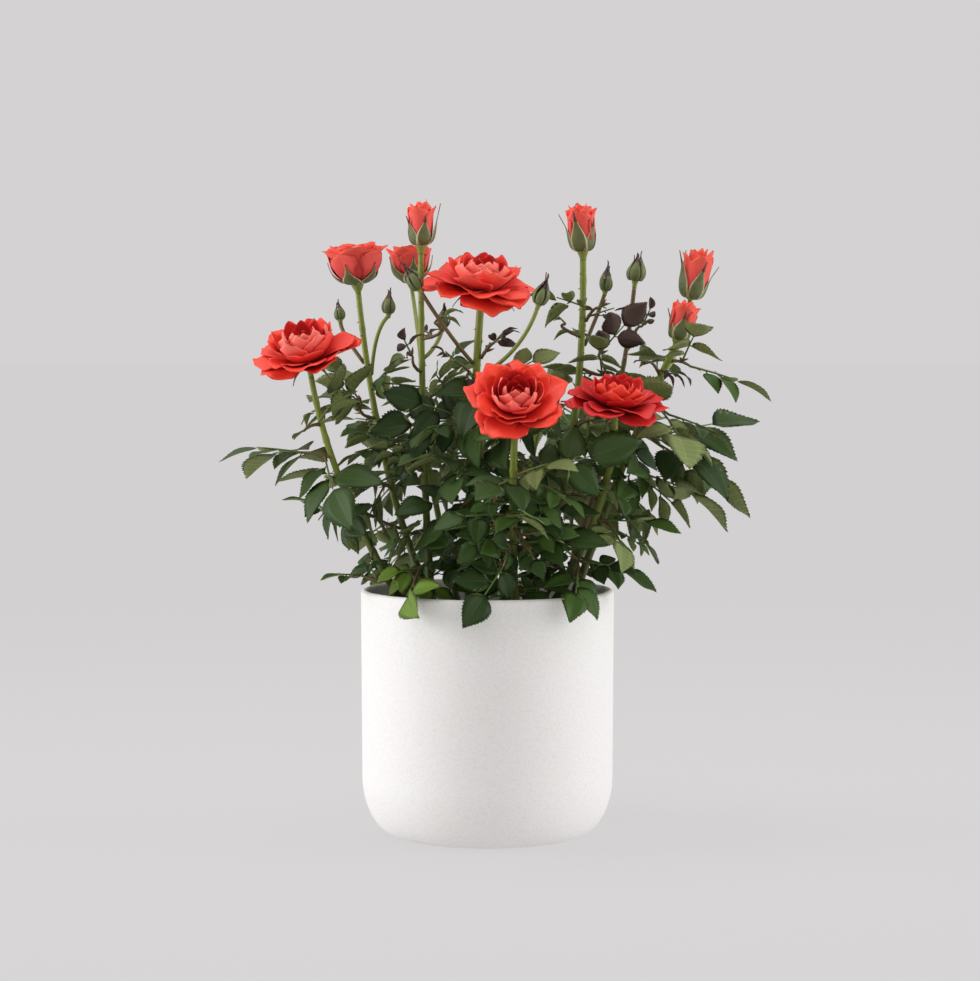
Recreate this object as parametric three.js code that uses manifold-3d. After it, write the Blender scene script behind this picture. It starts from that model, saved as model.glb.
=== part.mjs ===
// A miniature rose bush growing in a round plain pot.
// Millimetres, Z up. The origin is the middle of the pot's flat underside, and -Y is the side that faces the viewer.
import * as THREE from 'three';
import { mergeVertices } from 'three/addons/utils/BufferGeometryUtils.js';
import { ConvexGeometry } from 'three/addons/geometries/ConvexGeometry.js';
import Module from 'manifold-3d';

const wasm = await Module();
wasm.setup();

// Pot and soil
const POT_RADIUS = 65;
const POT_HEIGHT = 126;
const POT_WALL = 4;
const POT_FLOOR = 6;
const POT_BASE_RADIUS = 46.5;
const POT_CORNER_HEIGHT = 30;
const POT_TAPER = 0.5;
const POT_SIDES = 36;
const CORNER_STEPS = 4;
const SOIL_TOP = 114;
const SOIL_SIDES = 24;
const CLEAR = 0.3;
const NUDGE = 0.04;
const MOST_NUDGES = 8;

// Canes: how many flats round, rings along, and how much the foot flares
const CANE_SIDES = 6;
const CANE_RINGS = 6;
const FOOT_FLARE = 0.45;
const FLARE_LENGTH = 0.06;

// Each cane: foot x, y on the soil; knee and tip; radius at foot and tip
const CANES = {
  cane_left: [[-40, -12], [-71.5, -22, 176], [-88.7, -24, 235], 2.0, 1.5],
  cane_left_tall: [[-27, 12], [-52, 20, 186], [-67.5, 30, 278.5], 2.1, 1.5],
  cane_left_bud: [[-28, -14], [-32.6, 2, 197], [-34.1, 5, 298], 2.1, 1.5],
  cane_centre: [[-9, -3], [-7.4, -8, 198], [-3.6, -10, 269.5], 2.4, 2.0],
  cane_front: [[14, -32], [12.7, -50, 172], [13.8, -60, 214], 2.1, 1.8],
  cane_right: [[31, -16], [56.3, -25, 170], [63.6, -35, 211], 2.1, 1.7],
  cane_right_tall: [[20, 12], [43, 20, 197], [49.7, 25, 295.5], 2.3, 1.7],
  cane_right_slim: [[36, 30], [62.6, 42, 196], [77.3, 45, 280], 1.7, 1.2],
  cane_far_right: [[42, 4], [75, 5, 202], [96, 0, 250], 2.1, 1.7],
  cane_back_left: [[-16, 34], [-30, 62, 178], [-38, 78, 222], 1.9, 1.3],
  cane_back_right: [[8, 38], [22, 66, 180], [32, 80, 232], 1.9, 1.3],
};

// Each bloom: kind, host cane, how far up it stands (1 is the top), knee and neck of a stem of its own,
// the way it faces, radius and height
const BLOOMS = {
  rose_left: ['open', 'cane_left', 1, null, null, [-0.16, -0.40, 0.9], 27, 23],
  rose_centre: ['open', 'cane_centre', 1, null, null, [0.08, -0.26, 0.96], 31, 22],
  rose_front: ['open', 'cane_front', 1, null, null, [0.02, -0.7, 0.71], 25.5, 21],
  rose_right: ['open', 'cane_right', 1, null, null, [0.1, -0.3, 0.95], 26, 20],
  cup_left: ['cup', 'cane_left_tall', 1, null, null, [-0.1, -0.1, 1], 18.5, 21],
  cup_behind: ['cup', 'cane_left_bud', 0.7, [-37, 32, 262], [-40.5, 50, 283], [-0.04, 0.02, 1], 13.5, 20],
  bud_top_left: ['bud', 'cane_left_bud', 1, null, null, [0, 0, 1], 7.6, 21.5],
  bud_top_right: ['bud', 'cane_right_tall', 1, null, null, [-0.05, -0.03, 1], 8.4, 23.5],
  bud_far_right_upper: ['bud', 'cane_far_right', 0.82, [98, 18, 248], [105.4, 25, 274.5], [0.22, 0, 0.97], 7.8, 25],
  bud_far_right_lower: ['bud', 'cane_far_right', 1, null, null, [0.24, -0.03, 0.97], 8, 19.5],
  bud_round: ['green', 'cane_right_slim', 1, null, null, [0.12, 0, 1], 4.6, 13],
  bud_leaning: ['green', 'cane_centre', 0.78, [-20, -20, 258], [-33.4, -25, 278], [-0.55, 0, 0.83], 3, 15],
  bud_by_rose: ['green', 'cane_centre', 0.74, [14, -30, 250], [25, -40, 270], [0.3, -0.1, 0.95], 3.2, 13],
  bud_pointed: ['green', 'cane_left_tall', 0.76, [-57, 17, 256], [-51.3, 17, 266], [0.05, 0, 1], 3, 12],
  bud_tiny: ['green', 'cane_left_tall', 0.8, [-74, 36, 255], [-77.5, 42, 263], [-0.15, 0.1, 1], 2.4, 10],
  bud_small: ['green', 'cane_left_bud', 0.74, [-27, 14, 251], [-23.5, 20, 259], [0.1, 0.1, 1], 2.8, 11],
  bud_narrow: ['green', 'cane_right_tall', 0.76, [57, 32, 266], [61.4, 34, 278], [0.12, 0, 1], 2.6, 14],
};
const BLOOM_STEM_RADIUS = 1.1;
const NECK = 1.6;

// Each mass of leaves: host cane, how far up it, tip of the furthest leaf, compound leaves,
// leaflet length, leaflets to a leaf, and how far the leaves lean outwards
const MASSES = {
  leaves_left_low: ['cane_left', 0.16, [-84, -26, 135], 3, 22, 5, 1.0],
  leaves_left_middle: ['cane_left', 0.36, [-102, -28, 178], 4, 25, 5, 1.2],
  leaves_left_far: ['cane_left', 0.66, [-138, -16, 202], 3, 33, 5, 0.5],
  leaves_left_under_rose: ['cane_left', 0.8, [-98, -38, 206], 2, 25, 3, 1.3],
  leaves_left_shoulder: ['cane_left_tall', 0.74, [-46, -14, 244], 4, 27, 5, 0.7],
  leaves_left_upper: ['cane_left_tall', 0.64, [-86, 4, 250], 4, 27, 5, 0.8],
  leaves_left_centre: ['cane_left_tall', 0.44, [-72, -36, 190], 4, 29, 5, 1.2],
  leaves_left_inner: ['cane_left_bud', 0.26, [-56, -52, 158], 4, 27, 5, 1.2],
  leaves_rim_left: ['cane_left_bud', 0.17, [-44, -74, 122], 2, 22, 3, 1.0],
  leaves_rim_centre: ['cane_front', 0.34, [0, -84, 113], 3, 23, 5, 1.4],
  leaves_rim_right: ['cane_right', 0.26, [42, -82, 122], 3, 23, 5, 1.4],
  leaves_front_low: ['cane_front', 0.48, [-14, -80, 146], 4, 27, 5, 1.3],
  leaves_front_middle: ['cane_centre', 0.5, [-20, -66, 178], 4, 29, 5, 1.4],
  leaves_front_right: ['cane_front', 0.68, [50, -74, 172], 4, 29, 5, 1.2],
  leaves_centre_upper: ['cane_centre', 0.6, [-42, -46, 208], 4, 28, 5, 1.2],
  leaves_centre_top: ['cane_centre', 0.7, [38, -12, 248], 4, 28, 5, 0.7],
  leaves_right_low: ['cane_right', 0.44, [82, -34, 148], 3, 27, 5, 1.2],
  leaves_right_middle: ['cane_far_right', 0.42, [106, -30, 161], 4, 33, 5, 1.2],
  leaves_right_far: ['cane_far_right', 0.54, [140, 4, 167], 4, 33, 5, 0.5],
  leaves_right_shoulder: ['cane_far_right', 0.64, [131, -10, 202], 3, 32, 5, 1.0],
  leaves_right_tip: ['cane_far_right', 0.9, [149, 10, 227], 3, 27, 5, 0.6],
  leaves_over_right: ['cane_right_tall', 0.56, [100, -16, 232], 4, 31, 5, 0.9],
  leaves_top_right: ['cane_right_tall', 0.7, [82, 20, 274], 4, 22, 5, 0.7],
  leaves_top_left: ['cane_left_bud', 0.62, [-10, 4, 258], 4, 24, 5, 0.8],
  leaves_back_left: ['cane_back_left', 0.8, [-92, 86, 214], 4, 30, 5, 0.9],
  leaves_back_middle: ['cane_back_left', 0.96, [-8, 104, 244], 3, 30, 5, 0.9],
  leaves_back_right: ['cane_back_right', 0.84, [88, 86, 226], 4, 30, 5, 0.9],
  leaves_back_low: ['cane_back_left', 0.3, [-62, 92, 146], 3, 30, 5, 1.1],
  leaves_back_low_right: ['cane_back_right', 0.3, [58, 94, 144], 3, 29, 5, 1.1],
  leaves_side_right: ['cane_right_slim', 0.38, [112, 60, 184], 3, 30, 5, 1.1],
};

// Leaf rule: a compound leaf's stalk as a share of its leaflet length, and the reach of the whole leaf
const STALK_SHARE = { 3: 0.65, 5: 1.15 };
const REACH_SHARE = { 3: 1.6, 5: 2.1 };
const SHORTEST_TWIG = 10;
const TWIG_RISE = 0.1;
const TWIG_RADIUS = 0.9;
const STALK_RADIUS = 0.5;
// Leaves stand between these shares of their twig, a golden angle on from each other
const FIRST_LEAF = 0.12;
const LEAF_SPAN = 0.8;
const GOLDEN_ANGLE = THREE.MathUtils.degToRad(137.508);
const LOWEST_PITCH = -38;
const PITCH_RANGE = 66;
const OUT_PULL = 0.5;
const FACE_TWIST = 60;
// Leaflets: how far up the stalk, the angle from it, and the share of the longest leaflet
const LEAFLETS = [[1, 0, 1], [0.64, 60, 0.86], [0.64, -60, 0.86], [0.32, 66, 0.68], [0.32, -66, 0.68]];
const LEAST_DROOP = 6;
const DROOP_RANGE = 24;
const LEAFLET_SWAY = 0.5;
const LEAST_WIDTH = 0.64;
const WIDTH_RANGE = 0.1;
const LEAF_THICKNESS = 0.7;
const LEAF_WIDEST = 0.46;
const PETIOLULE = 1.2;
const OUTLINE = [[0, 0], [0.28, 0.4], [0.62, 0.44], [1, 0], [0.62, -0.44], [0.28, -0.4]];
// Room that a leaf keeps: half its thickness, its margin to other pieces, to its own mass, to bark and to the pot
const LEAF_HALF_THICKNESS = 0.4;
const LEAF_MARGIN = 0.35;
const OWN_MARGIN = 0.12;
const BARK_MARGIN = 0.5;
const POT_MARGIN = 1.8;
const SOIL_MARGIN = 1.5;
const LOWEST_LEAF = 100;
const POT_STEPS = 8;
// Tries for a leaf and for a twig, and the number of straight rods that stand in for each limb
const LEAF_TRIES = 16;
const STRICT_TRIES = 9;
const TWIG_TRIES = 12;
const TWIG_DICE = 97;
const CANE_RODS = 12;
const BLOOM_RODS = 4;
const TWIG_RODS = 4;

// Petals and sepals
const SEPAL_COUNT = 5;
const HEART_WAVE = 0.12;
const PETAL_ROOT = 0.12;
const PETAL_BELLY = 0.8;
const PETAL_LIFT = 0.25;
const PETAL_THICKNESS = 0.7;
const PETAL_STAGGER = 1.4;
// Bloom shapes: hip radius; the heart's profile as shares of radius and height; petals; and which ring of the
// turned head the five sepals are pulled from, and how far out and up, in millimetres
const BLOOM_SHAPES = {
  open: {
    hip: 3.6,
    heart: [[0.55, 0.15], [0.62, 0.65], [0.36, 1], [0, 0.9]],
    petals: { count: 6, top: 0.3, width: 0.44 },
    sepals: { ring: 3, out: 13, up: -4 },
  },
  cup: {
    hip: 3.4,
    heart: [[0.7, 0.35], [0.78, 0.85], [0.4, 1], [0, 0.9]],
    petals: { count: 5, top: 0.92, width: 0.56 },
    sepals: { ring: 3, out: 12, up: -1 },
  },
  bud: {
    hip: 3,
    heart: [[0.9, 0.25], [1, 0.6], [0.75, 0.95], [0, 1]],
    petals: { count: 0 },
    sepals: { ring: 5, out: 4, up: 9 },
  },
  green: {
    hip: 2,
    heart: [[1, 0.35], [0.7, 0.7], [0, 1]],
    petals: { count: 0 },
    sepals: null,
  },
};
// The room that a bloom takes, as [share of radius, share of height] rings from its base up
const ROOM_SIDES = 8;
const ROOM_SKIN = 0.6;
const BLOOM_ROOM = {
  open: [[0.15, 0], [0.85, 0.2], [1, 0.5], [0.6, 1]],
  cup: [[0.15, 0], [0.8, 0.4], [1, 1]],
  bud: [[0.25, 0], [1, 0.3], [1, 0.8], [0.5, 1]],
  green: [[0.35, 0], [1, 0.35], [0.5, 0.8], [0.2, 1]],
};

const MATERIALS = {
  pot: new THREE.MeshStandardMaterial({ color: 0xece9e6, roughness: 0.7, metalness: 0 }),
  soil: new THREE.MeshStandardMaterial({ color: 0x3a2c22, roughness: 1, metalness: 0 }),
  cane: new THREE.MeshStandardMaterial({ color: 0x7a9a3a, roughness: 0.6, metalness: 0 }),
  leaf: new THREE.MeshStandardMaterial({ color: 0x2e4a2a, roughness: 0.5, metalness: 0 }),
  petal: new THREE.MeshStandardMaterial({ color: 0xe8402f, roughness: 0.6, metalness: 0 }),
  bud: new THREE.MeshStandardMaterial({ color: 0x5e7a45, roughness: 0.6, metalness: 0 }),
};

const UP = new THREE.Vector3(0, 0, 1);
const vec = (list) => new THREE.Vector3(...list);
const along = (start, direction, distance) => start.clone().addScaledVector(direction, distance);
const degrees = THREE.MathUtils.degToRad;

// A number from 0 to 1 that depends only on its four whole numbers
function dice(mass, leaf, attempt, face) {
  let h = Math.imul(mass, 374761393) + Math.imul(leaf, 668265263);
  h = (h + Math.imul(attempt, 2246822519 | 0) + Math.imul(face, 3266489917 | 0)) >>> 0;
  h = (h ^ (h >>> 15)) >>> 0;
  h = Math.imul(h, 2246822519 | 0) >>> 0;
  h = (h ^ (h >>> 13)) >>> 0;
  h = Math.imul(h, 3266489917 | 0) >>> 0;
  h = (h ^ (h >>> 16)) >>> 0;
  return h / 4294967296;
}

// A limb's middle line: a parabola through its foot, its knee and its tip
function bend(foot, knee, tip) {
  const pull = knee.clone().multiplyScalar(2).addScaledVector(foot, -0.5).addScaledVector(tip, -0.5);
  return new THREE.QuadraticBezierCurve3(foot, pull, tip);
}

// Closed geometry to solid and back
function toSolid(geometry) {
  const plain = geometry.clone();
  for (const name of Object.keys(plain.attributes)) {
    if (name !== 'position') plain.deleteAttribute(name);
  }
  const merged = mergeVertices(plain, 1e-3);
  const mesh = new wasm.Mesh({
    numProp: 3,
    vertProperties: Float32Array.from(merged.attributes.position.array),
    triVerts: Uint32Array.from(merged.index.array),
  });
  return new wasm.Manifold(mesh);
}

// Whether every edge of a geometry has a face on each side once corners that nearly meet are taken as one
function isClosed(geometry) {
  const position = geometry.attributes.position;
  const corners = Array.from(geometry.index.array, (vertex) => (
    [position.getX(vertex), position.getY(vertex), position.getZ(vertex)].map((value) => value.toFixed(4)).join()));
  const edges = new Map();
  for (let i = 0; i < corners.length; i += 3) {
    const face = corners.slice(i, i + 3);
    if (new Set(face).size === 3) {
      for (let k = 0; k < 3; k += 1) {
        const edge = [face[k], face[(k + 1) % 3]].sort().join(' ');
        edges.set(edge, (edges.get(edge) ?? 0) + 1);
      }
    }
  }
  return [...edges.values()].every((count) => count === 2);
}

function fromSolid(solid) {
  const mesh = solid.getMesh();
  const geometry = new THREE.BufferGeometry();
  geometry.setAttribute('position', new THREE.BufferAttribute(Float32Array.from(mesh.vertProperties), 3));
  geometry.setIndex(new THREE.BufferAttribute(Uint32Array.from(mesh.triVerts), 1));
  return geometry;
}

// All the pieces of one node as one body: only the largest outer skin of what they make together is kept,
// so a sealed hollow is filled and a loose scrap is dropped. Where two pieces only just touch, they are made
// again with a small nudge.
function fuse(makePieces) {
  let result = null;
  for (let nudge = 0; nudge < MOST_NUDGES; nudge += 1) {
    const [piece, ...others] = makePieces(nudge * NUDGE);
    let whole = toSolid(piece);
    for (const other of others) whole = whole.add(toSolid(other));
    let skins = whole.decompose();
    do {
      skins.sort((first, second) => second.volume() - first.volume());
      result = fromSolid(skins[0]);
      whole = toSolid(result);
      skins = whole.decompose();
    } while (skins.length > 1);
    if (isClosed(fromSolid(whole))) break;
  }
  result.computeVertexNormals();
  return result;
}

// A tapering limb: a closed cylinder whose rings are set out along a curve
function limb(curve, radiusAt, sides, rings, flatFoot) {
  const geometry = new THREE.CylinderGeometry(1, 1, 1, sides, rings);
  const position = geometry.attributes.position;
  const frames = curve.computeFrenetFrames(rings, false);
  for (let i = 0; i < position.count; i += 1) {
    const t = position.getY(i) + 0.5;
    const ring = Math.round(t * rings);
    const radius = radiusAt(t);
    const across = frames.normals[ring].clone();
    const over = frames.binormals[ring].clone();
    if (flatFoot && ring === 0) {
      across.setZ(0).normalize();
      over.setZ(0).normalize();
    }
    const point = curve.getPoint(t);
    point.addScaledVector(across, position.getX(i) * radius).addScaledVector(over, -position.getZ(i) * radius);
    position.setXYZ(i, point.x, point.y, point.z);
  }
  return geometry;
}

// Two directions square to an axis
function crossways(axis) {
  const first = new THREE.Vector3(0, 1, 0.1).cross(axis).normalize();
  const second = axis.clone().cross(first);
  return [first, second];
}

// A turned piece standing on a point, along an axis; its profile is [radius, height] from axis to axis
function turned(profile, sides, base, axis) {
  const points = profile.map(([radius, height]) => new THREE.Vector2(radius, height));
  const geometry = new THREE.LatheGeometry(points, sides);
  const [first, second] = crossways(axis);
  const frame = new THREE.Matrix4().makeBasis(second, axis, first).setPosition(base);
  return geometry.applyMatrix4(frame);
}

// A thin blade with a kite outline, flat below and ridged above: leaflet or sepal
function blade(base, axis, normal, length, width, thickness, widest) {
  const side = normal.clone().cross(axis);
  const centre = along(base, axis, length * widest);
  return new ConvexGeometry([
    base.clone(),
    along(centre, side, width / 2),
    along(base, axis, length),
    along(centre, side, -width / 2),
    along(centre, normal, thickness),
  ]);
}

// A straight three-sided stalk, flat on top
function prism(start, end, face, radius) {
  const side = end.clone().sub(start).normalize().cross(face);
  const corners = [];
  for (const centre of [start, end]) {
    corners.push(along(along(centre, face, radius / 2), side, radius * 0.87));
    corners.push(along(along(centre, face, radius / 2), side, -radius * 0.87));
    corners.push(along(centre, face, -radius));
  }
  return new ConvexGeometry(corners);
}

// The pot is turned from one closed outline: flat base, rounded corner, wall, soft rim, inside and floor
function makePot() {
  const outline = [[0, 0]];
  const side = POT_RADIUS - POT_TAPER;
  for (let i = 0; i <= CORNER_STEPS; i += 1) {
    const angle = (i / CORNER_STEPS) * Math.PI / 2;
    outline.push([
      POT_BASE_RADIUS + (side - POT_BASE_RADIUS) * Math.sin(angle),
      POT_CORNER_HEIGHT * (1 - Math.cos(angle)),
    ]);
  }
  const lip = POT_WALL / 2;
  for (const angle of [0, 45, 90, 135, 180]) {
    outline.push([
      POT_RADIUS - lip + lip * Math.cos(degrees(angle)),
      POT_HEIGHT - lip + lip * Math.sin(degrees(angle)),
    ]);
  }
  outline.push([POT_RADIUS - POT_TAPER - POT_WALL, POT_CORNER_HEIGHT]);
  outline.push([POT_BASE_RADIUS - POT_WALL / 2, POT_FLOOR]);
  outline.push([0, POT_FLOOR]);
  return turned(outline, POT_SIDES, new THREE.Vector3(), UP);
}

// The soil fills the pot to a little below the rim and stays clear of its wall
function makeSoil() {
  const gap = CLEAR + 0.2;
  return turned([
    [0, POT_FLOOR + gap],
    [POT_BASE_RADIUS - POT_WALL / 2 - gap, POT_FLOOR + gap],
    [POT_RADIUS - POT_TAPER - POT_WALL - gap, POT_CORNER_HEIGHT + gap],
    [POT_RADIUS - POT_WALL - gap, SOIL_TOP],
    [0, SOIL_TOP],
  ], SOIL_SIDES, new THREE.Vector3(), UP);
}

// Canes as curves with a radius along them
const canes = {};
for (const [name, [foot, knee, tip, footRadius, tipRadius]] of Object.entries(CANES)) {
  const curve = bend(new THREE.Vector3(foot[0], foot[1], SOIL_TOP + CLEAR), vec(knee), vec(tip));
  canes[name] = { curve, footRadius, tipRadius };
}
const caneRadius = (cane, t) => cane.footRadius + (cane.tipRadius - cane.footRadius) * t;

// A branch leaves its host just clear of the bark
function leaveHost(host, t, target, radius) {
  const point = host.curve.getPoint(t);
  const way = target.clone().sub(point).normalize();
  const lean = Math.abs(way.dot(host.curve.getTangent(t)));
  const rise = Math.sqrt(Math.max(0.05, 1 - lean * lean));
  return along(point, way, (caneRadius(host, t) + CLEAR + radius * lean) / rise);
}

// Where each bloom stands: the stem it has of its own and the frame of its head
const blooms = {};
for (const [name, [kind, hostName, t, knee, neck, facing, radius, height]] of Object.entries(BLOOMS)) {
  const host = canes[hostName];
  const axis = vec(facing).normalize();
  let stem;
  let stemRadius = host.tipRadius;
  if (knee === null) {
    const tip = host.curve.getPoint(1);
    const rise = host.curve.getTangent(1);
    const start = along(tip, rise, CLEAR);
    const turn = along(start, rise, NECK);
    stem = new THREE.QuadraticBezierCurve3(start, turn, along(turn, axis, NECK));
  } else {
    stemRadius = BLOOM_STEM_RADIUS;
    stem = bend(leaveHost(host, t, vec(knee), stemRadius), vec(knee), vec(neck));
  }
  blooms[name] = { kind, axis, radius, height, stem, stemRadius, base: stem.getPoint(1), own: knee !== null };
}

// A convex outline in space that leaves keep clear of: its corners, edge and face directions, and a thickness
function obstacle(points, edges, normals, radius, owner) {
  const centre = new THREE.Vector3();
  for (const point of points) centre.addScaledVector(point, 1 / points.length);
  const bound = Math.max(...points.map((point) => point.distanceTo(centre))) + radius;
  return { points, edges, normals, radius, owner, centre, bound };
}

function rod(start, end, radius, owner) {
  const way = end.clone().sub(start).normalize();
  return obstacle([start, end], [way], [way], radius, owner);
}

// Two convex outlines are clear of each other when some direction parts them by more than the margin
const axisScratch = new THREE.Vector3();
function parts(a, b, axis, need) {
  const length = axis.length();
  if (length < 1e-6) return false;
  let aLow = Infinity;
  let aHigh = -Infinity;
  let bLow = Infinity;
  let bHigh = -Infinity;
  for (const point of a.points) {
    const reach = point.dot(axis);
    aLow = Math.min(aLow, reach);
    aHigh = Math.max(aHigh, reach);
  }
  for (const point of b.points) {
    const reach = point.dot(axis);
    bLow = Math.min(bLow, reach);
    bHigh = Math.max(bHigh, reach);
  }
  return Math.max(bLow - aHigh, aLow - bHigh) > need * length;
}

function clearOf(a, b, margin) {
  const distance = a.centre.distanceTo(b.centre);
  if (distance > a.bound + b.bound + margin) return true;
  const need = a.radius + b.radius + margin;
  for (const axis of a.normals) if (parts(a, b, axis, need)) return true;
  for (const axis of b.normals) if (parts(a, b, axis, need)) return true;
  if (parts(a, b, axisScratch.copy(b.centre).sub(a.centre), need)) return true;
  for (const first of a.edges) {
    for (const second of b.edges) {
      if (parts(a, b, axisScratch.crossVectors(first, second), need)) return true;
    }
  }
  return false;
}

function leafletObstacle(base, axis, normal, length, width, owner) {
  const side = normal.clone().cross(axis);
  const points = OUTLINE.map(([u, v]) => along(along(base, axis, u * length), side, v * width));
  const edges = points.map((point, i) => points[(i + 1) % points.length].clone().sub(point).normalize());
  const normals = [normal.clone(), ...edges.map((edge) => normal.clone().cross(edge))];
  return { ...obstacle(points, edges, normals, LEAF_HALF_THICKNESS, owner), base, axis, normal, length, width };
}

// A leaflet stays off the pot's wall, above the soil and above the lowest hanging leaf
function clearOfPot(leaflet) {
  const start = leaflet.points[0];
  const end = leaflet.points[3];
  const across = leaflet.points[1].clone().sub(leaflet.points[5]);
  const inside = POT_RADIUS - POT_WALL - POT_MARGIN;
  const outside = POT_RADIUS + POT_MARGIN;
  for (let i = 0; i <= POT_STEPS; i += 1) {
    const share = i / POT_STEPS;
    for (const j of [-1, 0, 1]) {
      const point = start.clone().lerp(end, share).addScaledVector(across, 0.5 * j * Math.sin(Math.PI * share));
      const radius = Math.hypot(point.x, point.y);
      if (point.z < LOWEST_LEAF) return false;
      if (point.z < SOIL_TOP + SOIL_MARGIN && radius < POT_RADIUS) return false;
      if (point.z < POT_HEIGHT + POT_MARGIN && radius > inside && radius < outside) return false;
    }
  }
  return true;
}

// What stands in the way before any leaf grows: canes, blooms and their stems
const obstacles = [];
for (const [name, cane] of Object.entries(canes)) {
  for (let i = 0; i < CANE_RODS; i += 1) {
    const start = cane.curve.getPoint(i / CANE_RODS);
    const end = cane.curve.getPoint((i + 1) / CANE_RODS);
    obstacles.push(rod(start, end, caneRadius(cane, i / CANE_RODS), name));
  }
}
for (const [name, bloom] of Object.entries(blooms)) {
  for (let i = 0; i < BLOOM_RODS; i += 1) {
    const start = bloom.stem.getPoint(i / BLOOM_RODS);
    const end = bloom.stem.getPoint((i + 1) / BLOOM_RODS);
    obstacles.push(rod(start, end, bloom.stemRadius, name));
  }
  const rings = BLOOM_ROOM[bloom.kind].map(([radius, height]) => {
    const [first, second] = crossways(bloom.axis);
    const centre = along(bloom.base, bloom.axis, height * bloom.height);
    return Array.from({ length: ROOM_SIDES }, (_, i) => {
      const angle = 2 * Math.PI * i / ROOM_SIDES;
      const acrossPoint = along(centre, first, Math.cos(angle) * radius * bloom.radius);
      return along(acrossPoint, second, Math.sin(angle) * radius * bloom.radius);
    });
  });
  const edges = [];
  const normals = [bloom.axis];
  for (let k = 0; k < rings.length; k += 1) {
    for (let i = 0; i < ROOM_SIDES; i += 1) {
      const round = rings[k][(i + 1) % ROOM_SIDES].clone().sub(rings[k][i]).normalize();
      if (k === 1 && i < ROOM_SIDES / 2) edges.push(round);
      if (k > 0) {
        const rise = rings[k][i].clone().sub(rings[k - 1][i]).normalize();
        edges.push(rise);
        normals.push(round.clone().cross(rise).normalize());
      }
    }
  }
  obstacles.push(obstacle(rings.flat(), edges, normals, ROOM_SKIN, name));
}

// The main twig of each mass leaves its host cane and ends where its furthest leaf begins
const twigs = {};
for (const [index, [name, row]] of Object.entries(MASSES).entries()) {
  const [hostName, t, tipList, count, size, leaflets, lean] = row;
  const host = canes[hostName];
  const tip = vec(tipList);
  const way = tip.clone().sub(host.curve.getPoint(t)).normalize();
  const start = leaveHost(host, t, tip, TWIG_RADIUS);
  const span = tip.distanceTo(start);
  const reach = size * REACH_SHARE[leaflets];
  const scale = Math.min(1, (span - SHORTEST_TWIG) / reach);
  const end = along(tip, way, -reach * scale);
  let best = null;
  for (let attempt = 0; attempt < TWIG_TRIES && best === null; attempt += 1) {
    const roll = (face) => dice(index + 1, TWIG_DICE, attempt + 1, face) - 0.5;
    const knee = start.clone().lerp(end, 0.5);
    knee.addScaledVector(UP, TWIG_RISE * start.distanceTo(end) + attempt * roll(1) * 2);
    knee.add(new THREE.Vector3(roll(2), roll(3), 0).multiplyScalar(attempt * 2));
    const curve = bend(start, knee, end);
    const rods = [];
    for (let i = 0; i < TWIG_RODS; i += 1) {
      const from = curve.getPoint(i === 0 ? 0.15 / TWIG_RODS : i / TWIG_RODS);
      rods.push(rod(from, curve.getPoint((i + 1) / TWIG_RODS), TWIG_RADIUS, name));
    }
    const free = rods.every((piece, i) => obstacles.every((other) => (
      (i === 0 && other.owner === hostName) || clearOf(piece, other, BARK_MARGIN))));
    if (free) {
      best = { index, tip, way, size, scale, count, leaflets, lean, curve };
      obstacles.push(...rods);
    }
  }
  if (best !== null) twigs[name] = best;
}

// Compound leaves: the furthest leaf of every mass first, then the rest in turn, each tried a few times
const jobs = [];
const rounds = Math.max(...Object.values(twigs).map((twig) => twig.count));
for (let round = 0; round < rounds; round += 1) {
  for (const [name, twig] of Object.entries(twigs)) {
    if (round < twig.count) jobs.push([name, twig.count - 1 - round]);
  }
}
const leaves = [];
for (const [name, place] of jobs) {
  for (let attempt = 0; attempt < LEAF_TRIES; attempt += 1) {
    const leaf = growLeaf(name, twigs[name], place, attempt);
    if (leaf !== null) {
      obstacles.push(leaf.stalk, ...leaf.leaflets);
      leaves.push(leaf);
      break;
    }
  }
}

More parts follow.
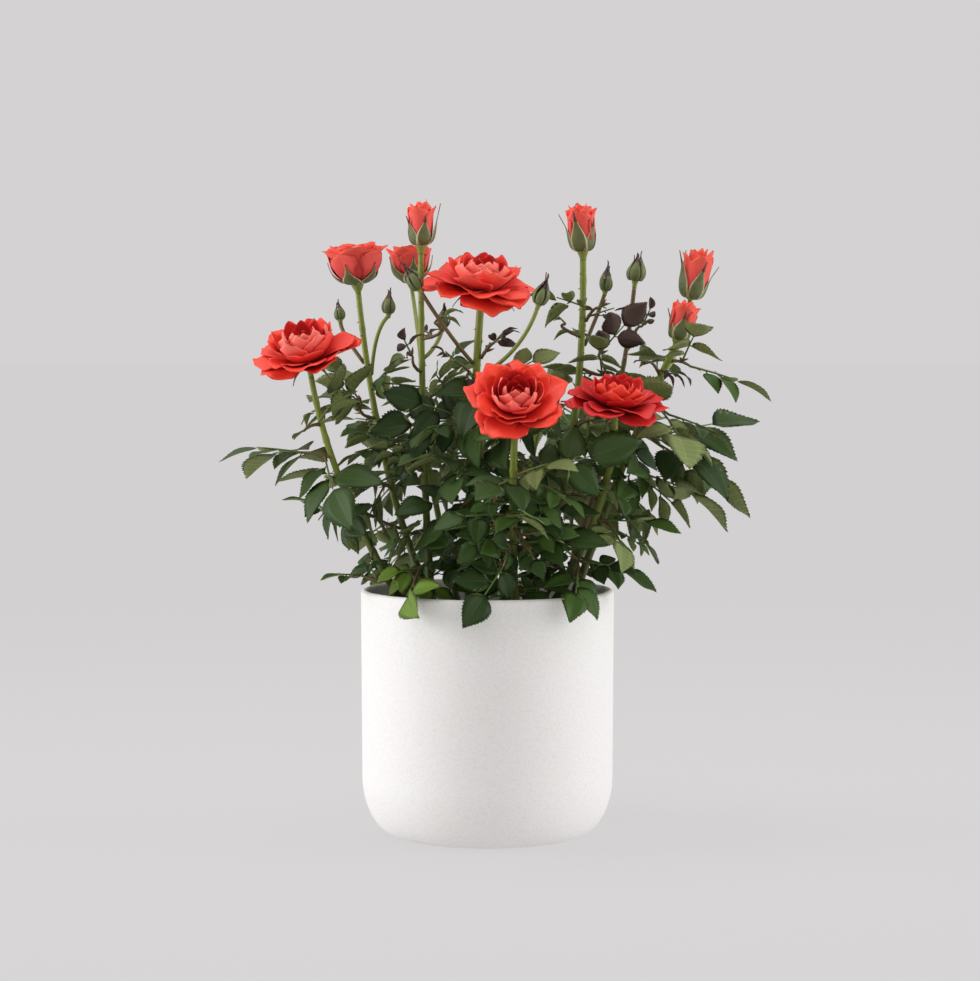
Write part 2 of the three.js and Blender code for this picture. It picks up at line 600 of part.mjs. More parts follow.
function growLeaf(name, twig, place, attempt) {
  const roll = (face) => dice(twig.index + 1, place + 1, attempt + 1, face);
  const last = place === twig.count - 1;
  const t = last ? 1 : FIRST_LEAF + LEAF_SPAN * place / Math.max(1, twig.count - 1);
  const base = twig.curve.getPoint(t);
  const out = new THREE.Vector3(base.x, base.y, 0).normalize();
  let size;
  let way;
  if (last) {
    size = twig.size * twig.scale;
    way = twig.tip.clone().sub(base).normalize();
    way.addScaledVector(new THREE.Vector3(roll(2) - 0.5, roll(3) - 0.5, roll(4) - 0.5), 0.1 * attempt).normalize();
  } else {
    size = twig.size * (0.8 + 0.25 * roll(1)) * (1 - 0.02 * attempt);
    const heading = Math.atan2(twig.way.y, twig.way.x) + GOLDEN_ANGLE * (place + 1)
      + (roll(2) - 0.5) * (1 + 0.4 * attempt);
    const pitch = degrees(LOWEST_PITCH + PITCH_RANGE * roll(3));
    way = new THREE.Vector3(
      Math.cos(heading) * Math.cos(pitch), Math.sin(heading) * Math.cos(pitch), Math.sin(pitch));
    way.addScaledVector(out, OUT_PULL).normalize();
  }
  const rachis = size * STALK_SHARE[twig.leaflets];
  const face = UP.clone().addScaledVector(out, twig.lean * (0.6 + 0.8 * roll(6)));
  face.addScaledVector(way, -face.dot(way)).normalize();
  face.applyAxisAngle(way, degrees((roll(5) - 0.5) * FACE_TWIST));
  const side = face.clone().cross(way);
  const tip = along(base, way, rachis);
  const stalk = rod(along(base, way, TWIG_RADIUS + CLEAR), tip, STALK_RADIUS, name);
  const others = obstacles.filter((other) => other.owner !== name);
  const own = obstacles.filter((other) => other.owner === name);
  const grown = own.slice(TWIG_RODS);
  if (!others.every((other) => clearOf(stalk, other, BARK_MARGIN))) return null;
  if (!grown.every((other) => clearOf(stalk, other, OWN_MARGIN))) return null;
  const leaflets = [];
  for (const [q, [up, turn, share]] of LEAFLETS.slice(0, twig.leaflets).entries()) {
    const droop = degrees(LEAST_DROOP + DROOP_RANGE * roll(10 + q));
    const flat = way.clone().multiplyScalar(Math.cos(degrees(turn)))
      .addScaledVector(side, Math.sin(degrees(turn)));
    const normal = face.clone().addScaledVector(side, LEAFLET_SWAY * (roll(20 + q) - 0.5))
      .addScaledVector(way, LEAFLET_SWAY * (roll(30 + q) - 0.5)).normalize();
    normal.addScaledVector(flat, -normal.dot(flat)).normalize();
    const axis = flat.clone().multiplyScalar(Math.cos(droop)).addScaledVector(normal, -Math.sin(droop));
    const top = normal.clone().multiplyScalar(Math.cos(droop)).addScaledVector(flat, Math.sin(droop));
    const length = size * share * (0.92 + 0.16 * roll(40 + q));
    const width = length * (LEAST_WIDTH + WIDTH_RANGE * roll(50 + q));
    const root = along(along(base, way, rachis * up), axis, q === 0 ? 0 : PETIOLULE);
    const leaflet = leafletObstacle(root, axis, top, length, width, name);
    const fits = clearOfPot(leaflet)
      && others.every((other) => clearOf(leaflet, other, LEAF_MARGIN))
      && leaflets.every((other) => clearOf(leaflet, other, OWN_MARGIN))
      && own.every((other) => clearOf(leaflet, other, OWN_MARGIN));
    if (fits) leaflets.push({ ...leaflet, terminal: q === 0 });
    else if (q === 0) return null;
  }
  const most = twig.leaflets - 1;
  if (leaflets.length < (attempt < STRICT_TRIES ? most : Math.min(3, most))) return null;
  return { name, base, way, rachis, face, stalk, leaflets };
}

// One petal: a patch of a bowl round the bloom's axis, pointed at its top edge, as a closed sheet
function petal(frame, azimuth, reach, top, lift, width) {
  const geometry = new THREE.BoxGeometry(1, 1, 1, 2, 2, 1);
  const position = geometry.attributes.position;
  // The back's squares are split along the same diagonal as the front's, so the two stay apart where the petal bends
  const back = geometry.groups[5];
  for (let i = back.start; i < back.start + back.count; i += 6) {
    const [a, b, d, , c] = geometry.index.array.slice(i, i + 6);
    geometry.index.array.set([a, b, c, a, c, d], i);
  }
  const profile = (rise) => {
    const middle = 2 * rise * (1 - rise);
    const outward = (1 - rise) ** 2 * PETAL_ROOT * reach + middle * reach * PETAL_BELLY + rise ** 2 * reach;
    return new THREE.Vector2(outward, lift + (middle * PETAL_LIFT + rise ** 2) * (top - lift));
  };
  const step = 0.02;
  for (let i = 0; i < position.count; i += 1) {
    const u = position.getX(i) * 2;
    const v = position.getY(i) + 0.5;
    const rise = v * (1 - 0.2 * u ** 2);
    const skin = profile(rise + step).sub(profile(rise - step)).normalize().multiplyScalar(
      position.getZ(i) * PETAL_THICKNESS);
    const spot = profile(rise);
    const spread = width * (0.35 + 0.65 * Math.sin(Math.PI * Math.min(1, 0.15 + 0.75 * v)));
    const angle = azimuth + u * spread / Math.max(spot.x, reach * 0.45);
    const outward = spot.x + skin.y;
    const point = new THREE.Vector3(outward * Math.cos(angle), outward * Math.sin(angle), spot.y - skin.x);
    point.applyMatrix4(frame);
    position.setXYZ(i, point.x, point.y, point.z);
  }
  return geometry;
}

// One bloom: its stem, a turned hip that carries a solid heart or bud, and petals round it. The sepals are
// every second corner of one ring of the turned piece, pulled out to a point.
function makeBloom(bloom) {
  const { kind, axis, radius, height, base, stem, stemRadius, own } = bloom;
  const { hip, heart, petals, sepals } = BLOOM_SHAPES[kind];
  const [first, second] = crossways(axis);
  const lift = hip * 1.4;
  const profile = [[0, -0.8], [stemRadius * 0.95, -0.8], [hip, hip * 0.9], [hip * 0.95, lift], [hip * 0.8, lift + 0.5]];
  for (const [out, up] of heart) profile.push([radius * out, lift + 0.5 + (height - lift - 0.5) * up]);
  const head = new THREE.LatheGeometry(
    profile.map(([out, up]) => new THREE.Vector2(out, up)), kind === 'green' ? 6 : 2 * SEPAL_COUNT);
  const position = head.attributes.position;
  if (kind === 'open') {
    for (let column = 0; column <= 2 * SEPAL_COUNT; column += 1) {
      for (const [ring, sign] of [[profile.length - 3, 1], [profile.length - 2, -1]]) {
        const vertex = column * profile.length + ring;
        const grow = 1 + HEART_WAVE * sign * (column % 2 === 0 ? 1 : -1);
        position.setX(vertex, position.getX(vertex) * grow);
        position.setZ(vertex, position.getZ(vertex) * grow);
      }
    }
  }
  if (sepals !== null) {
    for (let column = 0; column <= 2 * SEPAL_COUNT; column += 2) {
      const vertex = column * profile.length + sepals.ring;
      const angle = Math.PI * column / SEPAL_COUNT;
      position.setXYZ(vertex, position.getX(vertex) + Math.sin(angle) * sepals.out,
        position.getY(vertex) + sepals.up, position.getZ(vertex) + Math.cos(angle) * sepals.out);
    }
  }
  head.applyMatrix4(new THREE.Matrix4().makeBasis(second, axis, first).setPosition(base));
  const frame = new THREE.Matrix4().makeBasis(first, second, axis).setPosition(base);
  return fuse((nudge) => {
    const pieces = [limb(stem, () => stemRadius, own ? 4 : CANE_SIDES, own ? 3 : 1, false), head];
    for (let i = 0; i < petals.count; i += 1) {
      const azimuth = i * 2 * Math.PI / petals.count + nudge;
      const stagger = (i % 2) * PETAL_STAGGER;
      const top = lift + (height - lift) * petals.top + stagger;
      pieces.push(petal(frame, azimuth, radius - stagger, top, lift, radius * petals.width));
    }
    return pieces;
  });
}

// One mass of leaves: its main twig, the stalks and the leaflets, their roots sunk into each other
function makeMass(name, twig) {
  return fuse((nudge) => {
    const pieces = [limb(twig.curve, () => TWIG_RADIUS, 3, 3, false)];
    for (const leaf of leaves.filter((candidate) => candidate.name === name)) {
      pieces.push(prism(leaf.base, along(leaf.base, leaf.way, leaf.rachis), leaf.face, STALK_RADIUS));
      for (const { base, axis, normal, length, width, terminal } of leaf.leaflets) {
        const sunk = (terminal ? 0.5 : PETIOLULE + 0.1) + nudge;
        const root = along(base, axis, -sunk);
        pieces.push(blade(root, axis, normal, length + sunk, width * 0.94, LEAF_THICKNESS, LEAF_WIDEST));
      }
    }
    return pieces;
  });
}

// The plant in its pot, one named mesh for each piece
const roseBush = new THREE.Group();
function addPiece(name, geometry, material) {
  const mesh = new THREE.Mesh(geometry, material);
  mesh.name = name;
  roseBush.add(mesh);
}

addPiece('pot', fuse(() => [makePot()]), MATERIALS.pot);
addPiece('soil', fuse(() => [makeSoil()]), MATERIALS.soil);
for (const [name, cane] of Object.entries(canes)) {
  const radiusAt = (t) => caneRadius(cane, t) * (1 + FOOT_FLARE * Math.exp(-t / FLARE_LENGTH));
  const piece = limb(cane.curve, radiusAt, CANE_SIDES, CANE_RINGS, true);
  addPiece(name, fuse(() => [piece]), MATERIALS.cane);
}
for (const [name, bloom] of Object.entries(blooms)) {
  addPiece(name, makeBloom(bloom), bloom.kind === 'green' ? MATERIALS.bud : MATERIALS.petal);
}
for (const [name, twig] of Object.entries(twigs)) {
  addPiece(name, makeMass(name, twig), MATERIALS.leaf);
}

export default roseBush;
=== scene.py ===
# A miniature rose bush in a white pot: green canes, dark toothed leaves, orange-red roses and their buds.
# Sizes are worked out in millimetres, and every mesh is written in metres in the same frame as the solids.
import math

import bpy
import numpy as np
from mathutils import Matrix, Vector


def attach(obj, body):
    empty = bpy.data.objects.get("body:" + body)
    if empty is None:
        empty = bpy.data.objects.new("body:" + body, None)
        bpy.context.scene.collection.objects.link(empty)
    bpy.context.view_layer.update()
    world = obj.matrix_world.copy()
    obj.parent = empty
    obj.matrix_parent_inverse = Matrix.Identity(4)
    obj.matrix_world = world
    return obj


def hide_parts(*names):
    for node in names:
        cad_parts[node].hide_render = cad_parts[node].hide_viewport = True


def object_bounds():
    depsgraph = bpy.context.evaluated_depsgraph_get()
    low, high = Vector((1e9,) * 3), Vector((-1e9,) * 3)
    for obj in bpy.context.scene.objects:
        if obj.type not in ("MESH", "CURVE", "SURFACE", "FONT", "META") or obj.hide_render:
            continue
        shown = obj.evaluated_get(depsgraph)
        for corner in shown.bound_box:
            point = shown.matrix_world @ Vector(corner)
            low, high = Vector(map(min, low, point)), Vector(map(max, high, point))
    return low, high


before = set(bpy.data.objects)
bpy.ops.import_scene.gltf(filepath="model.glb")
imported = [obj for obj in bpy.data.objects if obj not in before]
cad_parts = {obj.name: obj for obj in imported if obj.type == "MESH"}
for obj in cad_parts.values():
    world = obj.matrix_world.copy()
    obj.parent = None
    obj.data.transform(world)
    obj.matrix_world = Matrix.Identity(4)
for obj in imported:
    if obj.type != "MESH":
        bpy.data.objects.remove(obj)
solid_box = [list(corner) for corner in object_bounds()]


# Camera, floor and light
# The camera stands 1.4 m in front of the pot, level with the blooms, and looks a little down at it.
# A broad soft light stands at each side, the left one stronger, with a weak one above, in a pale grey room
# that is as bright as the floor.
CAMERA_PLACE = (0.0013, -1.4, 0.253)
CAMERA_TILT = 0.0545
LENS = 100.32
SENSOR = 36
FLOOR_HALF = 30
FLOOR_HEX = "505050"
ROOM_HEX = "D4D2D2"
ROOM_GLOW = 0.9
# Each softbox has its place, its width and its power
SOFTBOXES = {
    "left_softbox": [(-1.5, -0.05, 0.5), 0.9, 3.2],
    "right_softbox": [(1.5, 0.0, 0.5), 0.9, 2.5],
    "top_softbox": [(-0.2, 0.05, 1.5), 0.8, 1.7],
}
SOFTBOX_SPREAD = 80
SOFTBOX_AIM = (0, 0, 0.17)


def linear(hexa):
    channels = [int(hexa[i:i + 2], 16) / 255 for i in (0, 2, 4)]
    return [c / 12.92 if c <= 0.04045 else ((c + 0.055) / 1.055) ** 2.4 for c in channels] + [1]


def add(tree, kind, settings, sockets):
    node = tree.nodes.new(kind)
    for name, value in settings.items():
        setattr(node, name, value)
    for name, value in sockets.items():
        if isinstance(value, bpy.types.NodeSocket):
            tree.links.new(value, node.inputs[name])
        else:
            node.inputs[name].default_value = value
    return node


def new_material(name, paint):
    """A material whose shader has the sockets that paint gives for the material's tree."""
    made = bpy.data.materials.new(name)
    made.use_nodes = True
    made.node_tree.nodes.clear()
    shader = add(made.node_tree, "ShaderNodeBsdfPrincipled", {}, paint(made.node_tree))
    add(made.node_tree, "ShaderNodeOutputMaterial", {}, {"Surface": shader.outputs[0]})
    return made


scene = bpy.context.scene
scene.view_settings.view_transform = "Standard"
camera_data = bpy.data.cameras.new("camera")
camera_data.lens = LENS
camera_data.sensor_width = SENSOR
camera_data.sensor_fit = "HORIZONTAL"
camera = bpy.data.objects.new("camera", camera_data)
camera.location = CAMERA_PLACE
camera.rotation_euler = (math.pi / 2 - CAMERA_TILT, 0, 0)
scene.collection.objects.link(camera)
scene.camera = camera

floor_mesh = bpy.data.meshes.new("floor")
corners = [(x * FLOOR_HALF, y * FLOOR_HALF, 0) for x, y in ((-1, -1), (1, -1), (1, 1), (-1, 1))]
floor_mesh.from_pydata(corners, [], [(0, 1, 2, 3)])
floor = bpy.data.objects.new("floor", floor_mesh)
scene.collection.objects.link(floor)
# Matt studio paint, lit from within a little so that the floor meets the room without an edge
floor_paint = new_material("matt_floor_paint", lambda tree: {
    "Base Color": linear(FLOOR_HEX), "Roughness": 0.9, "Specular IOR Level": 0.0,
    "Emission Color": linear(ROOM_HEX), "Emission Strength": ROOM_GLOW})
floor_mesh.materials.append(floor_paint)

world = bpy.data.worlds.new("room")
world.use_nodes = True
world.node_tree.nodes.clear()
air = add(world.node_tree, "ShaderNodeBackground", {}, {"Color": linear(ROOM_HEX), "Strength": 1.0})
add(world.node_tree, "ShaderNodeOutputWorld", {}, {"Surface": air.outputs[0]})
scene.world = world

for name, (place, width, power) in SOFTBOXES.items():
    softbox = bpy.data.lights.new(name, "AREA")
    softbox.size = width
    softbox.energy = power
    softbox.spread = math.radians(SOFTBOX_SPREAD)
    lamp = bpy.data.objects.new(name, softbox)
    lamp.location = place
    aim = np.array(SOFTBOX_AIM) - np.array(place)
    yaw = math.atan2(aim[1], aim[0])
    drop = math.atan2(-aim[2], math.hypot(aim[0], aim[1]))
    lamp.rotation_euler = (math.pi / 2 - drop, 0, yaw - math.pi / 2)
    scene.collection.objects.link(lamp)


# Pot
# A slip-cast ceramic cover pot with a straight wall, a soft rim and a rounded foot, with a matt white glaze.
# Its skin has a fine pebbled grain of about a millimetre.
POT_RADIUS = 65
POT_HEIGHT = 126
POT_WALL = 4
POT_FLOOR = 6
POT_BASE_RADIUS = 46.5
POT_CORNER_HEIGHT = 30
POT_TAPER = 0.5
POT_SIDES = 144
POT_CORNER_STEPS = 20
POT_LIP_STEPS = 12
POT_GRAIN = 1.1
POT_CLOUD = 30
MM = 0.001


class Pieces:
    """Corners with a value each and faces with a material number each, gathered into one mesh."""

    def __init__(self):
        self.points = []
        self.faces = []
        self.paints = []
        self.values = []
        self.count = 0

    def take(self, points, faces, paints, value=0.0):
        points = np.asarray(points, float)
        self.points.append(points)
        start = self.count
        self.faces.extend([tuple(start + corner for corner in face) for face in faces])
        self.paints.extend(paints if isinstance(paints, (list, tuple)) else [paints] * len(faces))
        self.values.append(np.full(len(points), value) if np.isscalar(value) else np.asarray(value, float))
        self.count += len(points)

    def make(self, name, materials):
        mesh = bpy.data.meshes.new(name)
        mesh.from_pydata(np.concatenate(self.points) * MM, [], self.faces)
        for material in materials:
            mesh.materials.append(material)
        mesh.polygons.foreach_set("material_index", np.array(self.paints, dtype=np.int32))
        mesh.polygons.foreach_set("use_smooth", np.full(len(self.faces), True))
        along = mesh.attributes.new("along", "FLOAT", "POINT")
        along.data.foreach_set("value", np.concatenate(self.values).astype(np.float32))
        mesh.validate()
        mesh.update()
        piece = bpy.data.objects.new(name, mesh)
        scene.collection.objects.link(piece)
        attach(piece, "root")
        return piece


def turned(profile, sides):
    """A closed shape turned about the upright axis from (radius, height) points that start and end on it."""
    points = [(0, 0, profile[0][1])]
    for radius, height in profile[1:-1]:
        for i in range(sides):
            angle = 2 * math.pi * i / sides
            points.append((radius * math.cos(angle), radius * math.sin(angle), height))
    points.append((0, 0, profile[-1][1]))
    last = len(points) - 1
    faces = [(0, 1 + (i + 1) % sides, 1 + i) for i in range(sides)]
    for ring in range(len(profile) - 3):
        low = 1 + ring * sides
        for i in range(sides):
            j = (i + 1) % sides
            faces.append((low + i, low + j, low + sides + j, low + sides + i))
    top = last - sides
    faces += [(top + i, top + (i + 1) % sides, last) for i in range(sides)]
    return points, faces


side = POT_RADIUS - POT_TAPER
pot_profile = [(0, 0)]
for i in range(POT_CORNER_STEPS + 1):
    angle = math.pi / 2 * i / POT_CORNER_STEPS
    pot_profile.append((
        POT_BASE_RADIUS + (side - POT_BASE_RADIUS) * math.sin(angle),
        POT_CORNER_HEIGHT * (1 - math.cos(angle))))
lip = POT_WALL / 2
for i in range(POT_LIP_STEPS + 1):
    angle = math.pi * i / POT_LIP_STEPS
    pot_profile.append((POT_RADIUS - lip + lip * math.cos(angle), POT_HEIGHT - lip + lip * math.sin(angle)))
pot_profile.append((side - POT_WALL, POT_CORNER_HEIGHT))
pot_profile.append((POT_BASE_RADIUS - POT_WALL / 2, POT_FLOOR))
pot_profile.append((0, POT_FLOOR))


def white_glaze(tree):
    """Matt glaze on fired clay: white with a soft sheen, a pebbled skin, and a trace of painted grey shade in
    its pits.
    """
    place = add(tree, "ShaderNodeTexCoord", {}, {}).outputs["Object"]
    grain = add(tree, "ShaderNodeTexNoise", {}, {
        "Vector": place, "Scale": 1 / (POT_GRAIN * MM), "Detail": 2.0}).outputs["Fac"]
    cloud = add(tree, "ShaderNodeTexNoise", {}, {
        "Vector": place, "Scale": 1 / (POT_CLOUD * MM), "Detail": 2.0}).outputs["Fac"]
    tint = add(tree, "ShaderNodeMix", {"data_type": "RGBA"}, {
        "Factor": cloud, "A": linear("F1EFED"), "B": linear("F5F4F3")})
    # Painted shade: where the grain sinks into pits, its white is made up to seven per cent greyer.
    pit_shade = add(tree, "ShaderNodeMapRange", {}, {
        "Value": grain, "From Min": 0.3, "From Max": 0.55, "To Min": 0.93, "To Max": 1.0})
    colour = add(tree, "ShaderNodeMix", {"data_type": "RGBA", "blend_type": "MULTIPLY"}, {
        "Factor": 1.0, "A": tint.outputs["Result"], "B": pit_shade.outputs["Result"]})
    relief = add(tree, "ShaderNodeBump", {}, {"Strength": 0.35, "Distance": 0.25 * MM, "Height": grain})
    return {"Base Color": colour.outputs["Result"], "Roughness": 0.62, "IOR": 1.5,
            "Normal": relief.outputs["Normal"]}


pot_pieces = Pieces()
pot_pieces.take(*turned(pot_profile, POT_SIDES), 0)
pot = pot_pieces.make("white_pot", [new_material("white_matt_glaze", white_glaze)])
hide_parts("pot")


# Soil
# Moist potting compost, pressed into the pot by hand to a little under its rim. It is dark peat and bark, so
# its top is lumpy and loose crumbs lie on it.
SOIL_TOP = 114
SOIL_RADIUS = 60.3
SOIL_RINGS = 22
SOIL_SIDES = 72
SOIL_LUMP = 1.1
SOIL_GAP = 0.5
CRUMBS = 1400
CRUMB_SIZE = 1.5
CRUMB_BED_SIDES = 48


def dice(mass, leaf, attempt, face):
    """A number from 0 to 1 that is always the same for the same four whole numbers."""
    mask = 0xFFFFFFFF
    h = (mass * 374761393 + leaf * 668265263) & mask
    h = (h + attempt * 2246822519 + face * 3266489917) & mask
    h = (h ^ (h >> 15)) & mask
    h = (h * 2246822519) & mask
    h = (h ^ (h >> 13)) & mask
    h = (h * 3266489917) & mask
    h = (h ^ (h >> 16)) & mask
    return h / 4294967296


def mottled(name, dark, light, patch, roughness, relief=None, specular=0.5):
    """A material clouded between two colours.

    The patch is (mm, detail) and the relief (mm, detail, strength, depth in mm).
    """
    def paint(tree):
        place = add(tree, "ShaderNodeTexCoord", {}, {}).outputs["Object"]
        cloud = add(tree, "ShaderNodeTexNoise", {}, {
            "Vector": place, "Scale": 1 / (patch[0] * MM), "Detail": patch[1]})
        colour = add(tree, "ShaderNodeMix", {"data_type": "RGBA"}, {
            "Factor": cloud.outputs["Fac"], "A": dark, "B": light})
        sockets = {
            "Base Color": colour.outputs["Result"], "Roughness": roughness, "Specular IOR Level": specular}
        if relief:
            size, detail, strength, depth = relief
            grain = add(tree, "ShaderNodeTexNoise", {}, {
                "Vector": place, "Scale": 1 / (size * MM), "Detail": detail})
            bump = add(tree, "ShaderNodeBump", {}, {
                "Strength": strength, "Distance": depth * MM, "Height": grain.outputs["Fac"]})
            sockets["Normal"] = bump.outputs["Normal"]
        return sockets

    return new_material(name, paint)


# Peat and bark fibres of a few millimetres, dead matt, clouded from near black to brown by a noise of the
# same size and detail as its relief, so it is almost black in the hollows and brown on top: the dark is
# partly the peat's own colour and partly painted shade in the hollows
compost = mottled(
    "potting_compost", linear("1E1712"), linear("5A4636"), (2.5, 4.0), 0.9, (2.5, 4.0, 0.8, 0.5))
soil_foot = POT_FLOOR + SOIL_GAP
soil_profile = [(0, soil_foot), (POT_BASE_RADIUS - 2.5, soil_foot), (SOIL_RADIUS - 0.4, POT_CORNER_HEIGHT)]
soil_profile += [(SOIL_RADIUS * (SOIL_RINGS - i) / SOIL_RINGS, SOIL_TOP) for i in range(SOIL_RINGS)]
soil_profile.append((0, SOIL_TOP))
soil_points, soil_faces = turned(soil_profile, SOIL_SIDES)
soil_points = np.array(soil_points, float)
for i, (x, y, z) in enumerate(soil_points):
    if z == SOIL_TOP and math.hypot(x, y) < SOIL_RADIUS - 1:
        wave = math.sin(0.21 * x + 1.3) * math.cos(0.17 * y) + math.sin(0.09 * x - 0.13 * y)
        soil_points[i][2] += SOIL_LUMP * (0.35 * wave + dice(1, i, 3, 5) - 0.8)
soil_pieces = Pieces()
soil_pieces.take(soil_points, soil_faces, 0)
soil = soil_pieces.make("potting_soil", [compost])
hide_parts("soil")


def grown_piece(name, base_mesh, sizes, plant, material):
    """A plain mesh grown from base_mesh by a node tree with a number input for each size.

    plant adds the tree's own nodes and gives the socket of their instances.
    """
    tree = bpy.data.node_groups.new(name + "_growth", "GeometryNodeTree")
    for end in ("INPUT", "OUTPUT"):
        tree.interface.new_socket("Geometry", in_out=end, socket_type="NodeSocketGeometry")
    dials = [tree.interface.new_socket(size, in_out="INPUT", socket_type="NodeSocketFloat") for size in sizes]
    inlet = add(tree, "NodeGroupInput", {}, {})
    real = add(tree, "GeometryNodeRealizeInstances", {}, {"Geometry": plant(tree, inlet.outputs)})
    paint = add(tree, "GeometryNodeSetMaterial", {}, {"Geometry": real.outputs[0], "Material": material})
    add(tree, "NodeGroupOutput", {}, {"Geometry": paint.outputs[0]})
    seed_bed = bpy.data.objects.new(name + "_seed_bed", base_mesh)
    scene.collection.objects.link(seed_bed)
    growth = seed_bed.modifiers.new("growth", "NODES")
    growth.node_group = tree
    for dial, value in zip(dials, sizes.values()):
        growth[dial.identifier] = value
    made = bpy.data.meshes.new_from_object(seed_bed.evaluated_get(bpy.context.evaluated_depsgraph_get()))
    bpy.data.objects.remove(seed_bed)
    made.name = name
    if not made.materials:
        made.materials.append(material)
    piece = bpy.data.objects.new(name, made)
    scene.collection.objects.link(piece)
    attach(piece, "root")


def scatter_crumbs(tree, inlet):
    """Small balls strewn over the soil's top, each turned and squashed its own way."""
    points = add(tree, "GeometryNodeDistributePointsOnFaces", {}, {
        "Mesh": inlet["Geometry"], "Density": inlet["Crumbs per square metre"], "Seed": 4})
    ball = add(tree, "GeometryNodeMeshIcoSphere", {}, {"Radius": inlet["Crumb size"], "Subdivisions": 1})
    turn = add(tree, "FunctionNodeRandomValue", {"data_type": "FLOAT_VECTOR"}, {
        "Max": (6.28, 6.28, 6.28), "Seed": 7})
    squash = add(tree, "FunctionNodeRandomValue", {"data_type": "FLOAT_VECTOR"}, {
        "Min": (0.25, 0.2, 0.2), "Max": (1.0, 0.6, 0.5), "Seed": 9})
    many = add(tree, "GeometryNodeInstanceOnPoints", {}, {
        "Points": points.outputs["Points"], "Instance": ball.outputs["Mesh"],
        "Rotation": turn.outputs["Value"], "Scale": squash.outputs["Value"]})
    return many.outputs[0]


crumb_bed = bpy.data.meshes.new("crumb_bed")
bed_radius = SOIL_RADIUS - 2.5
bed_height = SOIL_TOP - 0.2
bed_points = [(0, 0, bed_height)]
for i in range(CRUMB_BED_SIDES):
    angle = 2 * math.pi * i / CRUMB_BED_SIDES
    bed_points.append((bed_radius * math.cos(angle), bed_radius * math.sin(angle), bed_height))
bed_faces = [(0, 1 + i, 1 + (i + 1) % CRUMB_BED_SIDES) for i in range(CRUMB_BED_SIDES)]
crumb_bed.from_pydata(np.array(bed_points) * MM, [], bed_faces)
crumb_density = CRUMBS / (math.pi * (bed_radius * MM) ** 2)
grown_piece("compost_crumbs", crumb_bed, {
    "Crumbs per square metre": crumb_density, "Crumb size": CRUMB_SIZE * MM}, scatter_crumbs, compost)


# Canes
# Eleven living canes rise from the soil and taper to their blooms. Their bark is smooth, swells at each bud,
# every two centimetres or so, and carries small hooked prickles.
CLEAR = 0.3
CANE_SIDES = 12
CANE_STEP = 1.6
FOOT_FLARE = 0.45
FLARE_LENGTH = 0.06
NODE_SPACING = 21
NODE_SWELL = 0.16
NODE_WIDTH = 1.3
BARK_RIBS = 5
BARK_RELIEF = 0.025
BARK_SHARE = 0.97
FIRST_NODE = 6
FIRST_NODE_RANGE = 8
# A row gives a cane's foot, its knee and its tip, and its radius at the foot and at the tip
CANES = {
    "cane_left": [(-40, -12), (-71.5, -22, 176), (-88.7, -24, 235), 2.0, 1.5],
    "cane_left_tall": [(-27, 12), (-52, 20, 186), (-67.5, 30, 278.5), 2.1, 1.5],
    "cane_left_bud": [(-28, -14), (-32.6, 2, 197), (-34.1, 5, 298), 2.1, 1.5],
    "cane_centre": [(-9, -3), (-7.4, -8, 198), (-3.6, -10, 269.5), 2.4, 2.0],
    "cane_front": [(14, -32), (12.7, -50, 172), (13.8, -60, 214), 2.1, 1.8],
    "cane_right": [(31, -16), (56.3, -25, 170), (63.6, -35, 211), 2.1, 1.7],
    "cane_right_tall": [(20, 12), (43, 20, 197), (49.7, 25, 295.5), 2.3, 1.7],
    "cane_right_slim": [(36, 30), (62.6, 42, 196), (77.3, 45, 280), 1.7, 1.2],
    "cane_far_right": [(42, 4), (75, 5, 202), (96, 0, 250), 2.1, 1.7],
    "cane_back_left": [(-16, 34), (-30, 62, 178), (-38, 78, 222), 1.9, 1.3],
    "cane_back_right": [(8, 38), (22, 66, 180), (32, 80, 232), 1.9, 1.3],
}
UP = np.array([0.0, 0.0, 1.0])


def unit(vector):
    """The vector at a length of 1."""
    return vector / math.sqrt(float(vector @ vector))


class Bend:
    """A limb's middle line: a parabola given by its foot, its pulling point and its tip."""

    def __init__(self, foot, pull, tip):
        self.foot, self.pull, self.tip = (np.array(point, float) for point in (foot, pull, tip))

    @classmethod
    def through(cls, foot, knee, tip):
        foot, knee, tip = (np.array(point, float) for point in (foot, knee, tip))
        return cls(foot, 2 * knee - 0.5 * foot - 0.5 * tip, tip)

    def point(self, t):
        return (1 - t) ** 2 * self.foot + 2 * t * (1 - t) * self.pull + t * t * self.tip

    def way(self, t):
        return unit((1 - t) * (self.pull - self.foot) + t * (self.tip - self.pull))

    def length(self):
        steps = [self.point(i / 16) for i in range(17)]
        return sum(math.dist(a, b) for a, b in zip(steps, steps[1:]))


def tube(centres, radii, sides, flat_foot=False):
    """A closed tube whose rings stay square to its line; each radius is a number or a list round its ring."""
    centres = np.array(centres, float)
    ways = np.gradient(centres, axis=0)
    ways /= np.linalg.norm(ways, axis=1)[:, None]
    across = np.cross(ways[0], [0.3, 1.0, 0.1])
    points = []
    angles = 2 * math.pi * np.arange(sides) / sides
    for ring, (centre, way) in enumerate(zip(centres, ways)):
        across = unit(across - way * (across @ way))
        over = np.cross(way, across)
        round_it = np.outer(np.cos(angles), across) + np.outer(np.sin(angles), over)
        if flat_foot and ring == 0:
            round_it[:, 2] = 0
        points.append(centre + round_it * np.reshape(radii[ring], (-1, 1)))
    points = np.concatenate(points)
    faces = [tuple(range(sides))[::-1]]
    for ring in range(len(centres) - 1):
        low = ring * sides
        for i in range(sides):
            j = (i + 1) % sides
            faces.append((low + i, low + j, low + sides + j, low + sides + i))
    faces.append(tuple(range(len(points) - sides, len(points))))
    return points, faces


canes = {}
for name, (foot, knee, tip, foot_radius, tip_radius) in CANES.items():
    line = Bend.through((foot[0], foot[1], SOIL_TOP + CLEAR), knee, tip)
    canes[name] = {"line": line, "foot": foot_radius, "tip": tip_radius}


def cane_radius(cane, t):
    return cane["foot"] + (cane["tip"] - cane["foot"]) * t


